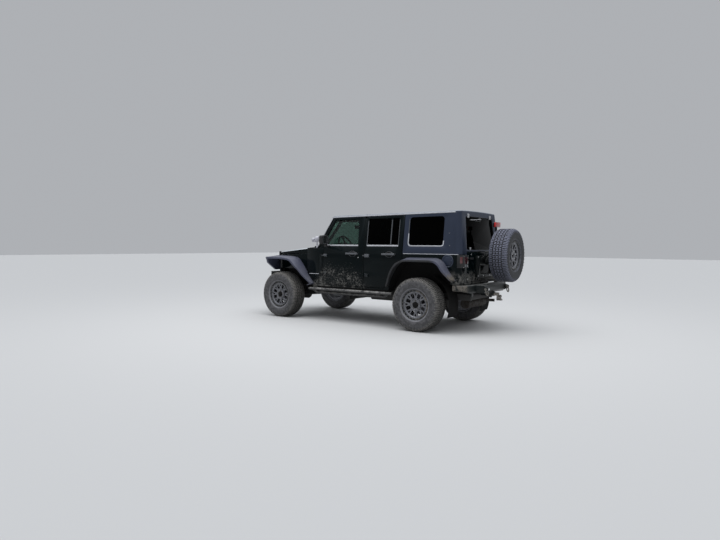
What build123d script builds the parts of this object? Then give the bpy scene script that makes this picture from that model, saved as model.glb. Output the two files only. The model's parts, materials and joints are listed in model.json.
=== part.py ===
from build123d import *
import math
import os

# A lifted four door off-road 4x4 with a hardtop, in millimetres.
# Sizes run forward (x) from the rear axle, to the left (y) and up (z) from the ground.
# The finished pieces are shifted so that the origin lies on the ground at the middle of the length.

# Axles and road wheels
WHEELBASE = 2946.0
WHEEL_Y = 840.0
TYRE_RADIUS = 425.0
TYRE_WIDTH = 300.0
GROOVE = 20.0
BEAD_RADIUS = 216.0
RIM_LIP_RADIUS = 237.0
RIM_WIDTH = 240.0
BARREL_WALL = 10.0
LIP_WALL = 8.0
HUB_RADIUS = 75.0
SPINDLE_RADIUS = 30.0
ROTOR_RADIUS = 165.0
ROTOR_THICKNESS = 24.0
KINGPIN_Y = 700.0
KINGPIN_RADIUS = 12.0
STEER_ARM = 160.0
AXLE_TUBE_RADIUS = 40.0
DIFF_RADIUS = 118.0
SPOKES = 8
BOSS_RADIUS = 88.0
WINDOW_IN = 108.0
WINDOW_OUT = 184.0
FORK_RADIUS = 143.0
SHOULDER_LUGS = 20
DISC_BACK = 58.0

# Clearances
SEAT = 0.3
RUN = 0.3
PANEL_GAP = 7.0
SEAM = 4.0
HEM_STEP = 14.0

# Body form
BELT_Z = 1221.0
BELT_HALF = 790.0
WAIST_Z = 900.0
WAIST_HALF = 803.0
SILL_Z = 585.0
SILL_HALF = 782.0
ROOF_HALF = 703.0
ROOF_LEAN_Z = 1880.0
ROOF_REAR_X = -556.0
ROOF_REAR_Z = 1904.0
ROOF_SLOPE = 0.01144
ROOF_CROWN = 13.0
ROOF_WALL = 30.0
ROOF_CAP = 39.0
DOOR_SKIN = 25.0
WALL_LOW = 75.0
WALL_HIGH = 40.0
TUB_REAR_X = -695.0
TUB_FRONT_X = 2438.0
TUB_FRONT_HALF = 742.0
ROOF_REAR_FACE_X = -628.0
ROOF_FRONT_X = 1874.0
ROOF_EDGE_RADIUS = 22.0
CORNER_RADIUS = 80.0
COWL_TOP_Z = 1300.0
FIREWALL_X = 2262.0
FIREWALL = 28.0
FLOOR_Z = 600.0
FLOOR = 30.0
CARGO_FLOOR_Z = 770.0
CARGO_FLOOR = 25.0
CARGO_RISER_X = 445.0
REAR_BOTTOM_Z = 760.0
WINDOW_SILL_Z = 1359.0
WINDOW_DROP = 82.0
GLASS = 5.0
GLASS_DEPTH = 12.0

# Doors, as places of their edges
DOOR_BOTTOM_Z = 645.0
FRONT_DOOR_X = (1138.0, 2005.0)
REAR_DOOR_X = (345.0, 1100.0)
HINGE_PIN_RADIUS = 5.0
HINGE_SLEEVE_RADIUS = 12.0
HINGE_HEIGHT = 56.0

# Windscreen
SCREEN_FOOT = (2196.0, 1300.0)
SCREEN_HEAD = (1858.0, 1864.0)
PILLAR_X_WIDTH = 62.0
SCREEN_FOOT_HALF = 740.0
SCREEN_HEAD_HALF = 690.0
PILLAR_WALL = 60.0

# Tailgate
GATE_HALF = 575.0
GATE_Z = (795.0, 1262.0)
GATE_WALL = 60.0
GATE_HINGE = (-719.0, -603.0)

# Hood
HOOD_REAR_X = 2448.0
HOOD_HINGE = (2444.0, 1336.0)
HOOD_WALL = 25.0

# Frame
RAIL_Y = 400.0
RAIL_WIDTH = 60.0
RAIL_Z = (490.0, 590.0)
RAIL_X = (-699.0, 3419.0)

# Bumpers
FRONT_REACH = 3600.0
FRONT_BUMPER_BACK_X = RAIL_X[1] + SEAT
FRONT_BUMPER_HALF = 640.0
FRONT_BUMPER_Z = (660.0, 830.0)
REAR_BUMPER_Z = (620.0, 753.0)

# Spare wheel
SPARE_Y = -85.0
SPARE_Z = 1210.0
SPARE_CENTRE_X = -1080.0
REAR_REACH = SPARE_CENTRE_X - TYRE_WIDTH / 2
SHIFT_X = -(FRONT_REACH + REAR_REACH) / 2


def polygon(points):
    return make_face(Polyline(*points, close=True))


def rounded(points, radius):
    return make_face(FilletPolyline(*points, radius=radius, close=True))


def side_prism(face, y0, y1):
    """A side view outline (x, z) as a solid from y0 to y1."""
    return extrude(Plane.XZ.offset(-y0) * face, amount=-(y1 - y0))


def cross_prism(face, x0, x1):
    """A cross section (y, z) as a solid from x0 to x1."""
    return extrude(Plane.YZ.offset(x0) * face, amount=x1 - x0)


def plan_prism(face, z0, z1):
    """A plan outline (x, y) as a solid from z0 to z1."""
    return extrude(Plane.XY.offset(z0) * face, amount=z1 - z0)


def block(x0, x1, y0, y1, z0, z1):
    middle = Pos((x0 + x1) / 2, (y0 + y1) / 2, (z0 + z1) / 2)
    return middle * Box(abs(x1 - x0), abs(y1 - y0), abs(z1 - z0))


def rod(start, end, radius):
    """A round bar between two points."""
    a = Vector(*start)
    b = Vector(*end)
    plane = Plane(origin=a, z_dir=b - a)
    return extrude(plane * Circle(radius), amount=(b - a).length)


def pipe(points, radius):
    """Round bars through points, with a ball at each bend."""
    runs = [rod(a, b, radius) for a, b in zip(points, points[1:])]
    bends = [Pos(*p) * Sphere(radius) for p in points[1:-1]]
    return joined(runs + bends)


def joined(shapes):
    result = shapes[0]
    for shape in shapes[1:]:
        result = result + shape
    return result


def mirrored(shape):
    return mirror(shape, about=Plane.XZ)


def both(shape):
    return [shape, mirrored(shape)]


def offset_line(points, distance):
    """The same open line moved sideways by a distance, to the right of its run."""
    normals = []
    for (ax, az), (bx, bz) in zip(points, points[1:]):
        length = math.hypot(bx - ax, bz - az)
        normals.append(((bz - az) / length, -(bx - ax) / length))
    moved = []
    for i, (x, z) in enumerate(points):
        n0 = normals[max(i - 1, 0)]
        n1 = normals[min(i, len(normals) - 1)]
        mx, mz = n0[0] + n1[0], n0[1] + n1[1]
        scale = distance / (1 + n0[0] * n1[0] + n0[1] * n1[1])
        moved.append((x + mx * scale, z + mz * scale))
    return moved


def roof_crease_z(x):
    return ROOF_REAR_Z - (x - ROOF_REAR_X) * ROOF_SLOPE


def upper_half(z):
    """Half width of the leaning upper side at a height."""
    return BELT_HALF + (z - BELT_Z) * (ROOF_HALF - BELT_HALF) / (ROOF_LEAN_Z - BELT_Z)


def pillar_x(z):
    """Front line of the windscreen pillar in side view."""
    share = (z - SCREEN_FOOT[1]) / (SCREEN_HEAD[1] - SCREEN_FOOT[1])
    return SCREEN_FOOT[0] + share * (SCREEN_HEAD[0] - SCREEN_FOOT[0])


def pillar_z(x):
    """Height at which the windscreen pillar's front line stands over a place."""
    share = (x - SCREEN_FOOT[0]) / (SCREEN_HEAD[0] - SCREEN_FOOT[0])
    return SCREEN_FOOT[1] + share * (SCREEN_HEAD[1] - SCREEN_FOOT[1])


def eased(points, reach):
    """A line with each inner corner eased by a short curve of three points."""
    line = [points[0]]
    for before, corner, after in zip(points, points[1:], points[2:]):
        ends = []
        for other in (before, after):
            length = math.dist(corner, other)
            share = min(reach, 0.4 * length) / length
            ends.append([c + (o - c) * share for c, o in zip(corner, other)])
        middle = [0.25 * a + 0.5 * c + 0.25 * b for a, c, b in zip(ends[0], corner, ends[1])]
        line += [tuple(ends[0]), tuple(middle), tuple(ends[1])]
    return line + [points[-1]]


def side_band(x0, x1, outer, inner_low, inner_high, step_z):
    """The left body side between two depths below its outer surface."""
    top = ROOF_LEAN_Z
    edges = [
        ThreePointArc((SILL_HALF - outer, SILL_Z), (WAIST_HALF - outer, WAIST_Z), (BELT_HALF - outer, BELT_Z)),
        Line((BELT_HALF - outer, BELT_Z), (upper_half(top) - outer, top)),
        Line((upper_half(top) - outer, top), (upper_half(top) - inner_high, top)),
        Line((upper_half(top) - inner_high, top), (upper_half(step_z) - inner_high, step_z)),
        Line((upper_half(step_z) - inner_low, step_z), (BELT_HALF - inner_low, BELT_Z)),
        ThreePointArc(
            (BELT_HALF - inner_low, BELT_Z), (WAIST_HALF - inner_low, WAIST_Z), (SILL_HALF - inner_low, SILL_Z)
        ),
        Line((SILL_HALF - inner_low, SILL_Z), (SILL_HALF - outer, SILL_Z)),
    ]
    if inner_low != inner_high:
        edges.append(
            Line((upper_half(step_z) - inner_high, step_z), (upper_half(step_z) - inner_low, step_z))
        )
    return cross_prism(make_face(Wire(edges)), x0, x1)


# Outlines of the left side, each (x, z)
FRONT_EDGE_KNEE_Z = pillar_z(FRONT_DOOR_X[1] + PILLAR_X_WIDTH)
DOOR_FRAME = 52.0
FRONT_DOOR_TOP_Z = roof_crease_z(1815) - ROOF_CAP - PANEL_GAP
front_door_top = [
    (pillar_x(FRONT_DOOR_TOP_Z) - PILLAR_X_WIDTH, FRONT_DOOR_TOP_Z),
    (FRONT_DOOR_X[0], roof_crease_z(FRONT_DOOR_X[0]) - ROOF_CAP - PANEL_GAP),
]
FRONT_WINDOW_TOP_Z = roof_crease_z(1780) - WINDOW_DROP
FRONT_WINDOW_EDGE_X = FRONT_DOOR_X[1] - DOOR_FRAME - 3
FRONT_DOOR = [
    (FRONT_DOOR_X[0], DOOR_BOTTOM_Z),
    (FRONT_DOOR_X[1], DOOR_BOTTOM_Z),
    (FRONT_DOOR_X[1], FRONT_EDGE_KNEE_Z),
] + front_door_top
REAR_DOOR = [
    (700.0, DOOR_BOTTOM_Z),
    (REAR_DOOR_X[1], DOOR_BOTTOM_Z),
    (REAR_DOOR_X[1], roof_crease_z(REAR_DOOR_X[1]) - ROOF_CAP - PANEL_GAP),
    (REAR_DOOR_X[0], roof_crease_z(REAR_DOOR_X[0]) - ROOF_CAP - PANEL_GAP),
    (REAR_DOOR_X[0], 1103.0),
    (445.0, 1055.0),
    (556.0, 918.0),
]
FRONT_WINDOW = [
    (1252.0, WINDOW_SILL_Z),
    (FRONT_WINDOW_EDGE_X, WINDOW_SILL_Z),
    (FRONT_WINDOW_EDGE_X, pillar_z(FRONT_WINDOW_EDGE_X + PILLAR_X_WIDTH + DOOR_FRAME)),
    (pillar_x(FRONT_WINDOW_TOP_Z) - PILLAR_X_WIDTH - DOOR_FRAME, FRONT_WINDOW_TOP_Z),
    (1267.0, roof_crease_z(1267) - WINDOW_DROP),
]
REAR_WINDOWS = [
    [
        (596.0, WINDOW_SILL_Z),
        (1056.0, WINDOW_SILL_Z),
        (1056.0, roof_crease_z(1056) - WINDOW_DROP),
        (596.0, roof_crease_z(596) - WINDOW_DROP),
    ],
    [
        (438.0, WINDOW_SILL_Z),
        (570.0, WINDOW_SILL_Z),
        (570.0, roof_crease_z(570) - WINDOW_DROP),
        (438.0, roof_crease_z(438) - WINDOW_DROP),
    ],
]
QUARTER_WINDOW = [
    (-381.0, WINDOW_SILL_Z),
    (242.0, WINDOW_SILL_Z),
    (242.0, roof_crease_z(242) - WINDOW_DROP),
    (-381.0, roof_crease_z(-381) - WINDOW_DROP),
]
REAR_ARCH = [
    (-560.0, SILL_Z - 1),
    (-534.0, 808.0),
    (-393.0, 1050.0),
    (-320.0, 1090.0),
    (320.0, 1090.0),
    (405.0, 1030.0),
    (500.0, 880.0),
    (590.0, 690.0),
    (615.0, SILL_Z - 1),
]
WINDOW_RADIUS = 22.0
QUARTER_RADIUS = 55.0


def door_leaf(outline, windows):
    """A left door: an outer skin and a thinner box behind it, with its windows cut."""
    face = polygon(outline)
    box_face = offset(face, amount=-HEM_STEP, kind=Kind.INTERSECTION)
    skin = side_band(0, 2300, 0, DOOR_SKIN, DOOR_SKIN, WINDOW_SILL_Z)
    box = side_band(0, 2300, DOOR_SKIN, WALL_LOW, WALL_HIGH, WINDOW_SILL_Z - 20)
    leaf = (skin & side_prism(face, 500, 900)) + (box & side_prism(box_face, 500, 900))
    for window in windows:
        leaf = leaf - side_prism(rounded(window, WINDOW_RADIUS), 500, 900)
    return leaf


def pane(windows, radius):
    """Glass that fills its windows, a hair inside their edges."""
    band = side_band(-700, 2300, GLASS_DEPTH, GLASS_DEPTH + GLASS, GLASS_DEPTH + GLASS, WINDOW_SILL_Z)
    panes = []
    for window in windows:
        face = offset(rounded(window, radius), amount=-SEAT)
        panes.append(band & side_prism(face, 500, 900))
    return panes


# Door hinges of the left side: axis x, axis y, heights
HINGES = {
    "front": (2008.5, 822.0, (858.0, 1169.0)),
    "rear": (1103.5, 822.0, (848.0, 1180.0)),
}
BODY_LEAF = {"front": 2080.0, "rear": 1129.0}
DOOR_LEAF = {"front": 1925.0, "rear": 1000.0}
LEAF_THICKNESS = 7.0


def hinge_on_body(end):
    """Two lugs with the pin between them, on a leaf that lies on the body."""
    x, y, heights = HINGES[end]
    parts = []
    for z in heights:
        half = HINGE_HEIGHT / 2
        lug = half - HINGE_HEIGHT / 3
        for low, high in ((z - half, z - lug), (z + lug, z + half)):
            parts.append(Pos(x, y, (low + high) / 2) * Cylinder(HINGE_SLEEVE_RADIUS, high - low))
            parts.append(block(x, BODY_LEAF[end], y - HINGE_SLEEVE_RADIUS, y - 2, low, high))
        parts.append(Pos(x, y, z) * Cylinder(HINGE_PIN_RADIUS, HINGE_HEIGHT))
        parts.append(block(x + HINGE_SLEEVE_RADIUS + 4, BODY_LEAF[end], 770, y - 4, z - half, z + half))
    return joined(parts)


def hinge_on_door(end):
    """A sleeve round the pin, on a leaf that lies on the door."""
    x, y, heights = HINGES[end]
    parts = []
    for z in heights:
        sleeve = HINGE_HEIGHT / 3 - 2 * 1.0
        parts.append(Pos(x, y, z) * Cylinder(HINGE_SLEEVE_RADIUS, sleeve))
        parts.append(block(DOOR_LEAF[end], x, y - HINGE_SLEEVE_RADIUS, y - 2, z - sleeve / 2, z + sleeve / 2))
        parts.append(
            block(DOOR_LEAF[end], x - HINGE_SLEEVE_RADIUS - 6, 780, y - 4, z - HINGE_HEIGHT / 2, z + HINGE_HEIGHT / 2)
        )
    return joined(parts)


def hinge_bores(end):
    x, y, heights = HINGES[end]
    return [Pos(x, y, z) * Cylinder(HINGE_PIN_RADIUS + RUN, HINGE_HEIGHT) for z in heights]


def door_handle(x0, x1, z):
    """A paddle handle that stands out from the skin on two feet."""
    y = WAIST_HALF
    grip = block(x0, x1, y + 14, y + 30, z - 15, z + 15)
    grip = fillet(grip.edges().filter_by(Axis.X), 6)
    feet = [block(x, x + 34, y - 20, y + 16, z - 13, z + 13) for x in (x0, x1 - 34)]
    return joined([grip] + feet)


def make_door(outline, windows, end, handle):
    door = door_leaf(outline, windows)
    door = door + hinge_on_door(end) + door_handle(*handle)
    for bore in hinge_bores(end):
        door = door - bore
    return door


def greenhouse(x0, x1, inset, top_inset, rear_inset):
    """The leaning upper body as a solid, inset for its inner face."""
    z0 = BELT_Z - 60
    z1 = ROOF_LEAN_Z + 70
    rear_lean = (ROOF_REAR_FACE_X - TUB_REAR_X) / (ROOF_LEAN_Z - BELT_Z)
    faces = []
    for z in (z0, z1):
        rear = x0 + rear_inset + (z - BELT_Z) * rear_lean
        half = upper_half(z) - inset
        outline = polygon([(rear, -half), (x1, -half), (x1, half), (rear, half)])
        faces.append(Plane.XY.offset(z) * outline)
    form = loft(faces, ruled=True)
    upright = [e for e in form.edges() if abs(e.center().X - x0) < 150 and e.length > 600 and abs((e @ 0).Z - (e @ 1).Z) > 500]
    form = fillet(upright, CORNER_RADIUS - inset)
    crown_plane = Plane(
        origin=(x0 - 200, 0, roof_crease_z(x0 - 200)), x_dir=(0, 1, 0), z_dir=(1, 0, -ROOF_SLOPE)
    )
    wide = 900.0
    drop = ROOF_CROWN * (wide / ROOF_HALF) ** 2 - ROOF_CROWN
    arc = ThreePointArc((-wide, -drop - top_inset), (0, ROOF_CROWN - top_inset), (wide, -drop - top_inset))
    sides = Polyline((wide, -drop - top_inset), (wide, -900), (-wide, -900), (-wide, -drop - top_inset))
    crown = extrude(crown_plane * make_face(Wire([arc] + sides.edges())), amount=3400)
    return form & crown


def make_hardtop():
    outer = greenhouse(TUB_REAR_X, 1106, 0, 0, 0)
    top_edges = [e for e in outer.edges() if e.center().Z > ROOF_LEAN_Z and e.center().X < 1100]
    outer = fillet(top_edges, ROOF_EDGE_RADIUS)
    inner = greenhouse(TUB_REAR_X, 1200, WALL_HIGH, ROOF_WALL, WALL_HIGH)
    shell = outer - inner
    shell = shell - block(-800, 1200, -900, 900, 1100, BELT_Z)
    groove = block(-800, 1200, -900, 900, BELT_Z - 1, BELT_Z + SEAM) - greenhouse(TUB_REAR_X, 1300, SEAM, 0, SEAM)
    shell = shell - groove
    cap_cut = [
        (REAR_DOOR_X[0] - PANEL_GAP, 1100),
        (1200, 1100),
        (1200, roof_crease_z(1200) - ROOF_CAP),
        (REAR_DOOR_X[0] - PANEL_GAP, roof_crease_z(REAR_DOOR_X[0]) - ROOF_CAP),
    ]
    shell = shell - side_prism(polygon(cap_cut), -900, 900)
    shell = shell - side_prism(rounded(QUARTER_WINDOW, QUARTER_RADIUS), -900, 900)
    shell = shell - cross_prism(rounded(REAR_GLASS, 40), -800, -560)
    shell = shell - cross_prism(polygon(REAR_NOTCH), -800, -560)
    return shell


# The lift glass opening in the hardtop, (y, z), and the place of the tailgate top below it
REAR_GLASS = [(-560, 1290), (560, 1290), (515, 1822), (-515, 1822)]
REAR_NOTCH = [(-GATE_HALF - 7, 1200), (GATE_HALF + 7, 1200), (GATE_HALF + 7, 1270), (-GATE_HALF - 7, 1270)]


def make_lift_glass():
    lean = (ROOF_REAR_FACE_X - TUB_REAR_X) / (ROOF_LEAN_Z - BELT_Z)
    sheet = polygon([(TUB_REAR_X + 8, BELT_Z), (TUB_REAR_X + 8 + 640 * lean, BELT_Z + 640),
                     (TUB_REAR_X + 14 + 640 * lean, BELT_Z + 640), (TUB_REAR_X + 14, BELT_Z)])
    face = offset(rounded(REAR_GLASS, 40), amount=-SEAT)
    return side_prism(sheet, -700, 700) & cross_prism(face, -800, -560)


ROOF_PANEL_REAR_X = 1112.0


def make_roof_panels():
    """Two lift-off panels over the front seats, with a lip that lies on the windscreen frame."""
    rear = ROOF_PANEL_REAR_X
    low = roof_crease_z(ROOF_FRONT_X) - ROOF_CAP
    front = side_prism(polygon([(rear, roof_crease_z(rear) - ROOF_CAP), (pillar_x(low) - 2, low),
                                (pillar_x(2000) - 2, 2000), (rear, 2000)]), 3, 900)
    form = greenhouse(600, 1960, 0, 0, 0) & front
    creases = [
        e for e in form.edges()
        if e.length > 400 and e.center().Z > low + 10 and e.center().X > rear + 50 and e.center().Y > 50
    ]
    form = fillet(creases, ROOF_EDGE_RADIUS)
    return both(form - greenhouse(600, ROOF_FRONT_X - 60, WALL_HIGH, ROOF_WALL, 0))


def tub_form(growth=0.0):
    """The outer form of the lower body, closed, with round rear corners."""
    half_edges = [
        ThreePointArc(
            (SILL_HALF + growth, SILL_Z), (WAIST_HALF + growth, WAIST_Z), (BELT_HALF + growth, BELT_Z)
        ),
        Line((BELT_HALF + growth, BELT_Z), (-BELT_HALF - growth, BELT_Z)),
        ThreePointArc(
            (-BELT_HALF - growth, BELT_Z), (-WAIST_HALF - growth, WAIST_Z), (-SILL_HALF - growth, SILL_Z)
        ),
        Line((-SILL_HALF - growth, SILL_Z), (SILL_HALF + growth, SILL_Z)),
    ]
    form = cross_prism(make_face(Wire(half_edges)), TUB_REAR_X - growth, TUB_FRONT_X)
    rear_edges = [
        e for e in form.edges()
        if abs(e.center().X - TUB_REAR_X + growth) < 1 and abs(e.center().Y) > BELT_HALF - 40
    ]
    return fillet(rear_edges, CORNER_RADIUS + growth)


def make_tub():
    """The body shell: side walls, sills, floors, arches, cowl, pillars and rear corners."""
    form = tub_form()

    def inside(x0, x1, z0, z1):
        low = ThreePointArc(
            (SILL_HALF - WALL_LOW, SILL_Z), (WAIST_HALF - WALL_LOW, WAIST_Z), (BELT_HALF - WALL_LOW, BELT_Z)
        )
        rest = Polyline((BELT_HALF - WALL_LOW, BELT_Z), (upper_half(1400) - WALL_LOW, 1400),
                        (-upper_half(1400) + WALL_LOW, 1400), (-BELT_HALF + WALL_LOW, BELT_Z))
        low2 = ThreePointArc(
            (-BELT_HALF + WALL_LOW, BELT_Z), (-WAIST_HALF + WALL_LOW, WAIST_Z), (-SILL_HALF + WALL_LOW, SILL_Z)
        )
        close = Line((-SILL_HALF + WALL_LOW, SILL_Z), (SILL_HALF - WALL_LOW, SILL_Z))
        section = make_face(Wire([low] + rest.edges() + [low2, close]))
        return cross_prism(section, x0, x1) & block(x0, x1, -900, 900, z0, z1)

    cabin = inside(CARGO_RISER_X, FIREWALL_X, FLOOR_Z + FLOOR, 1400)
    cargo = inside(TUB_REAR_X + 60, CARGO_RISER_X, CARGO_FLOOR_Z + CARGO_FLOOR, 1400)
    under_cabin = inside(CARGO_RISER_X - 25, TUB_FRONT_X + 1, SILL_Z - 1, FLOOR_Z)
    under_cargo = inside(TUB_REAR_X + 20, CARGO_RISER_X - 25, SILL_Z - 1, CARGO_FLOOR_Z)
    under_cargo = under_cargo + block(-800, -500, -900, 900, SILL_Z - 1, REAR_BOTTOM_Z)
    bay = block(FIREWALL_X + FIREWALL, TUB_FRONT_X + 1, -690, 690, SILL_Z - 1, BELT_Z + 1)
    tub = form - cabin - cargo - under_cabin - under_cargo - bay
    tub = tub - block(TUB_REAR_X - 1, FRONT_DOOR_X[1] + PANEL_GAP, -900, 900, BELT_Z - SEAT, BELT_Z + 1)
    shoulder = polygon([(-BELT_HALF, BELT_Z), (BELT_HALF, BELT_Z), (upper_half(COWL_TOP_Z), COWL_TOP_Z),
                        (-upper_half(COWL_TOP_Z), COWL_TOP_Z)])
    cowl = cross_prism(shoulder, FRONT_DOOR_X[1] + PANEL_GAP, TUB_FRONT_X)
    cowl = cowl - block(2000, FIREWALL_X, -704, 704, BELT_Z - 1, COWL_TOP_Z - 25)
    cowl = cowl - block(FIREWALL_X + FIREWALL, TUB_FRONT_X + 1, -690, 690, BELT_Z - 1, COWL_TOP_Z - 25)
    cowl = cowl - block(2000, 2090, -704, 704, BELT_Z - 1, COWL_TOP_Z + 1)
    tub = tub + cowl

    tub_side_cuts = [
        polygon(REAR_ARCH),
        polygon([(2284, SILL_Z - 1), (2284, 653), (2438.5, 870), (2500, 870), (2500, SILL_Z - 1)]),
        offset(polygon(FRONT_DOOR), amount=PANEL_GAP, kind=Kind.INTERSECTION),
        offset(polygon(REAR_DOOR), amount=PANEL_GAP, kind=Kind.INTERSECTION),
    ]
    reach_in = [585, 700, 640, 640]
    for face, y in zip(tub_side_cuts, reach_in):
        cut = side_prism(face, y, 900)
        tub = tub - cut - mirrored(cut)

    taper = [(FRONT_DOOR_X[1] + 6, WAIST_HALF + 1), (TUB_FRONT_X + 1, TUB_FRONT_HALF),
             (TUB_FRONT_X + 1, 900), (FRONT_DOOR_X[1] + 6, 900)]
    wedge = plan_prism(polygon(taper), 500, 1400)
    tub = tub - wedge - mirrored(wedge)

    arch_out = offset(polygon(REAR_ARCH), amount=25, kind=Kind.INTERSECTION)
    house = side_prism(arch_out, 560, 735) & block(-700, 700, 500, 800, CARGO_FLOOR_Z - 20, 1300)
    house = house - side_prism(polygon(REAR_ARCH), 585, 900)
    house = house & block(-620, 700, 500, 740, 600, 1300)
    tub = tub + house + mirrored(house)
    lower_house = side_prism(arch_out, 560, 735) & block(CARGO_RISER_X - 25, 700, 500, 800, FLOOR_Z, CARGO_FLOOR_Z)
    lower_house = lower_house - side_prism(polygon(REAR_ARCH), 585, 900)
    tub = tub + lower_house + mirrored(lower_house)

    gate_gap = block(TUB_REAR_X - 50, TUB_REAR_X + 60, -GATE_HALF - 7, GATE_HALF + 7, GATE_Z[0] - 7, 1400)
    tub = tub - gate_gap

    strip = side_band(REAR_DOOR_X[1] + PANEL_GAP, FRONT_DOOR_X[0] - PANEL_GAP, 0, WALL_LOW, WALL_HIGH, WINDOW_SILL_Z)
    post_top = roof_crease_z(1119) - ROOF_CAP - ROOF_WALL
    strip = strip & block(0, 2300, 500, 900, 610, post_top)
    post = side_band(1074, 1164, WALL_LOW + 7, WALL_LOW + 40, WALL_LOW + 40, WINDOW_SILL_Z)
    post = post & block(0, 2300, 500, 900, 610, WINDOW_SILL_Z)
    upper = side_band(REAR_DOOR_X[1] + PANEL_GAP, FRONT_DOOR_X[0] - PANEL_GAP, 20, 82, 82, WINDOW_SILL_Z)
    upper = upper & block(0, 2300, 500, 900, 1200, post_top)
    pillar = strip + post + upper
    tub = tub + pillar + mirrored(pillar)
    for end in HINGES:
        hinge = hinge_on_body(end)
        tub = tub + hinge + mirrored(hinge)
    return tub + gate_hinge_body() + hood_hinge_body()


# Tailgate hinges: heights of their middles
GATE_HINGE_Z = (856.0, 978.0)
GATE_LEAF = 80.0


def gate_hinge_body():
    x, y = GATE_HINGE
    parts = []
    for z in GATE_HINGE_Z:
        half = HINGE_HEIGHT / 2
        lug = half - HINGE_HEIGHT / 3
        for low, high in ((z - half, z - lug), (z + lug, z + half)):
            parts.append(Pos(x, y, (low + high) / 2) * Cylinder(HINGE_SLEEVE_RADIUS, high - low))
            parts.append(block(x, x + 12, y - 50, y, low, high))
        parts.append(Pos(x, y, z) * Cylinder(HINGE_PIN_RADIUS, HINGE_HEIGHT))
        parts.append(block(x + 4, TUB_REAR_X + 10, y - 60, y - HINGE_SLEEVE_RADIUS - 4, z - half, z + half))
    return joined(parts)


def gate_hinge_door():
    x, y = GATE_HINGE
    parts = []
    for z in GATE_HINGE_Z:
        sleeve = HINGE_HEIGHT / 3 - 2
        parts.append(Pos(x, y, z) * Cylinder(HINGE_SLEEVE_RADIUS, sleeve))
        parts.append(block(x, x + 12, y, y + GATE_LEAF, z - sleeve / 2, z + sleeve / 2))
        parts.append(block(x + 4, TUB_REAR_X + 10, y + HINGE_SLEEVE_RADIUS + 24, y + GATE_LEAF + 40,
                           z - HINGE_HEIGHT / 2, z + HINGE_HEIGHT / 2))
    return joined(parts)


def make_tailgate():
    gate = block(TUB_REAR_X, TUB_REAR_X + GATE_WALL, -GATE_HALF, GATE_HALF, *GATE_Z)
    inner = block(TUB_REAR_X + 25, TUB_REAR_X + GATE_WALL + 1, -GATE_HALF, GATE_HALF, *GATE_Z)
    keep = block(TUB_REAR_X + 25, TUB_REAR_X + GATE_WALL, -GATE_HALF + HEM_STEP, GATE_HALF - HEM_STEP,
                 GATE_Z[0], GATE_Z[1])
    gate = (gate - inner) + keep
    gate = gate + gate_hinge_door()
    x, y = GATE_HINGE
    for z in GATE_HINGE_Z:
        gate = gate - Pos(x, y, z) * Cylinder(HINGE_PIN_RADIUS + RUN, HINGE_HEIGHT)
    return gate


GATE_GRIP_Y = (400.0, 500.0)
GATE_GRIP_Z = (1146.0, 1176.0)
GRIP_FOOT = 22.0


def make_tailgate_handle():
    """A grip that stands off the tailgate on two feet, with room for fingers behind it."""
    low, high = GATE_GRIP_Z
    grip = block(TUB_REAR_X - 34, TUB_REAR_X - 20, *GATE_GRIP_Y, low, high)
    feet = [
        block(TUB_REAR_X - 22, TUB_REAR_X - SEAT, y, y + GRIP_FOOT, low + 4, high - 4)
        for y in (GATE_GRIP_Y[0], GATE_GRIP_Y[1] - GRIP_FOOT)
    ]
    return joined([grip] + feet)


CARRIER_PLATE_X = TUB_REAR_X - 40
BRAKE_LAMP_X = (-922.0, -876.0)
BRAKE_LAMP_Z = (1662.0, 1740.0)
BRAKE_LAMP_HALF = 95.0


def make_spare_carrier():
    """A plate on the tailgate, a hub that holds the wheel, and the arm of the upper lamp."""
    plate = block(CARRIER_PLATE_X, TUB_REAR_X - SEAT, -430, 260, 860, 1200)
    window = block(CARRIER_PLATE_X - 1, TUB_REAR_X, -330, 160, 900, 1050)
    plate = plate - window
    hub = rod((CARRIER_PLATE_X + 5, SPARE_Y, SPARE_Z - 110), (SPARE_CENTRE_X - 10, SPARE_Y, SPARE_Z), 55)
    face_x = SPARE_CENTRE_X - DISC_BACK + SEAT
    face = rod((SPARE_CENTRE_X + 30, SPARE_Y, SPARE_Z), (face_x, SPARE_Y, SPARE_Z), 80)
    stalk = pipe(
        [(CARRIER_PLATE_X + 10, SPARE_Y, 1180), (-890, SPARE_Y, 1330), (-890, SPARE_Y, 1690)], 16
    )
    lamp = block(*BRAKE_LAMP_X, SPARE_Y - BRAKE_LAMP_HALF, SPARE_Y + BRAKE_LAMP_HALF, *BRAKE_LAMP_Z)
    lamp = fillet(lamp.edges().filter_by(Axis.X), 14)
    x = CARRIER_PLATE_X - 55
    hoop = pipe([(CARRIER_PLATE_X + 10, 110, 1150), (x, 110, 1190), (x, 85, 1258), (x, -245, 1258), (x, -270, 1190),
                 (CARRIER_PLATE_X + 10, -270, 1150)], 13)
    return joined([plate, hub, face, stalk, lamp, hoop])


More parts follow.
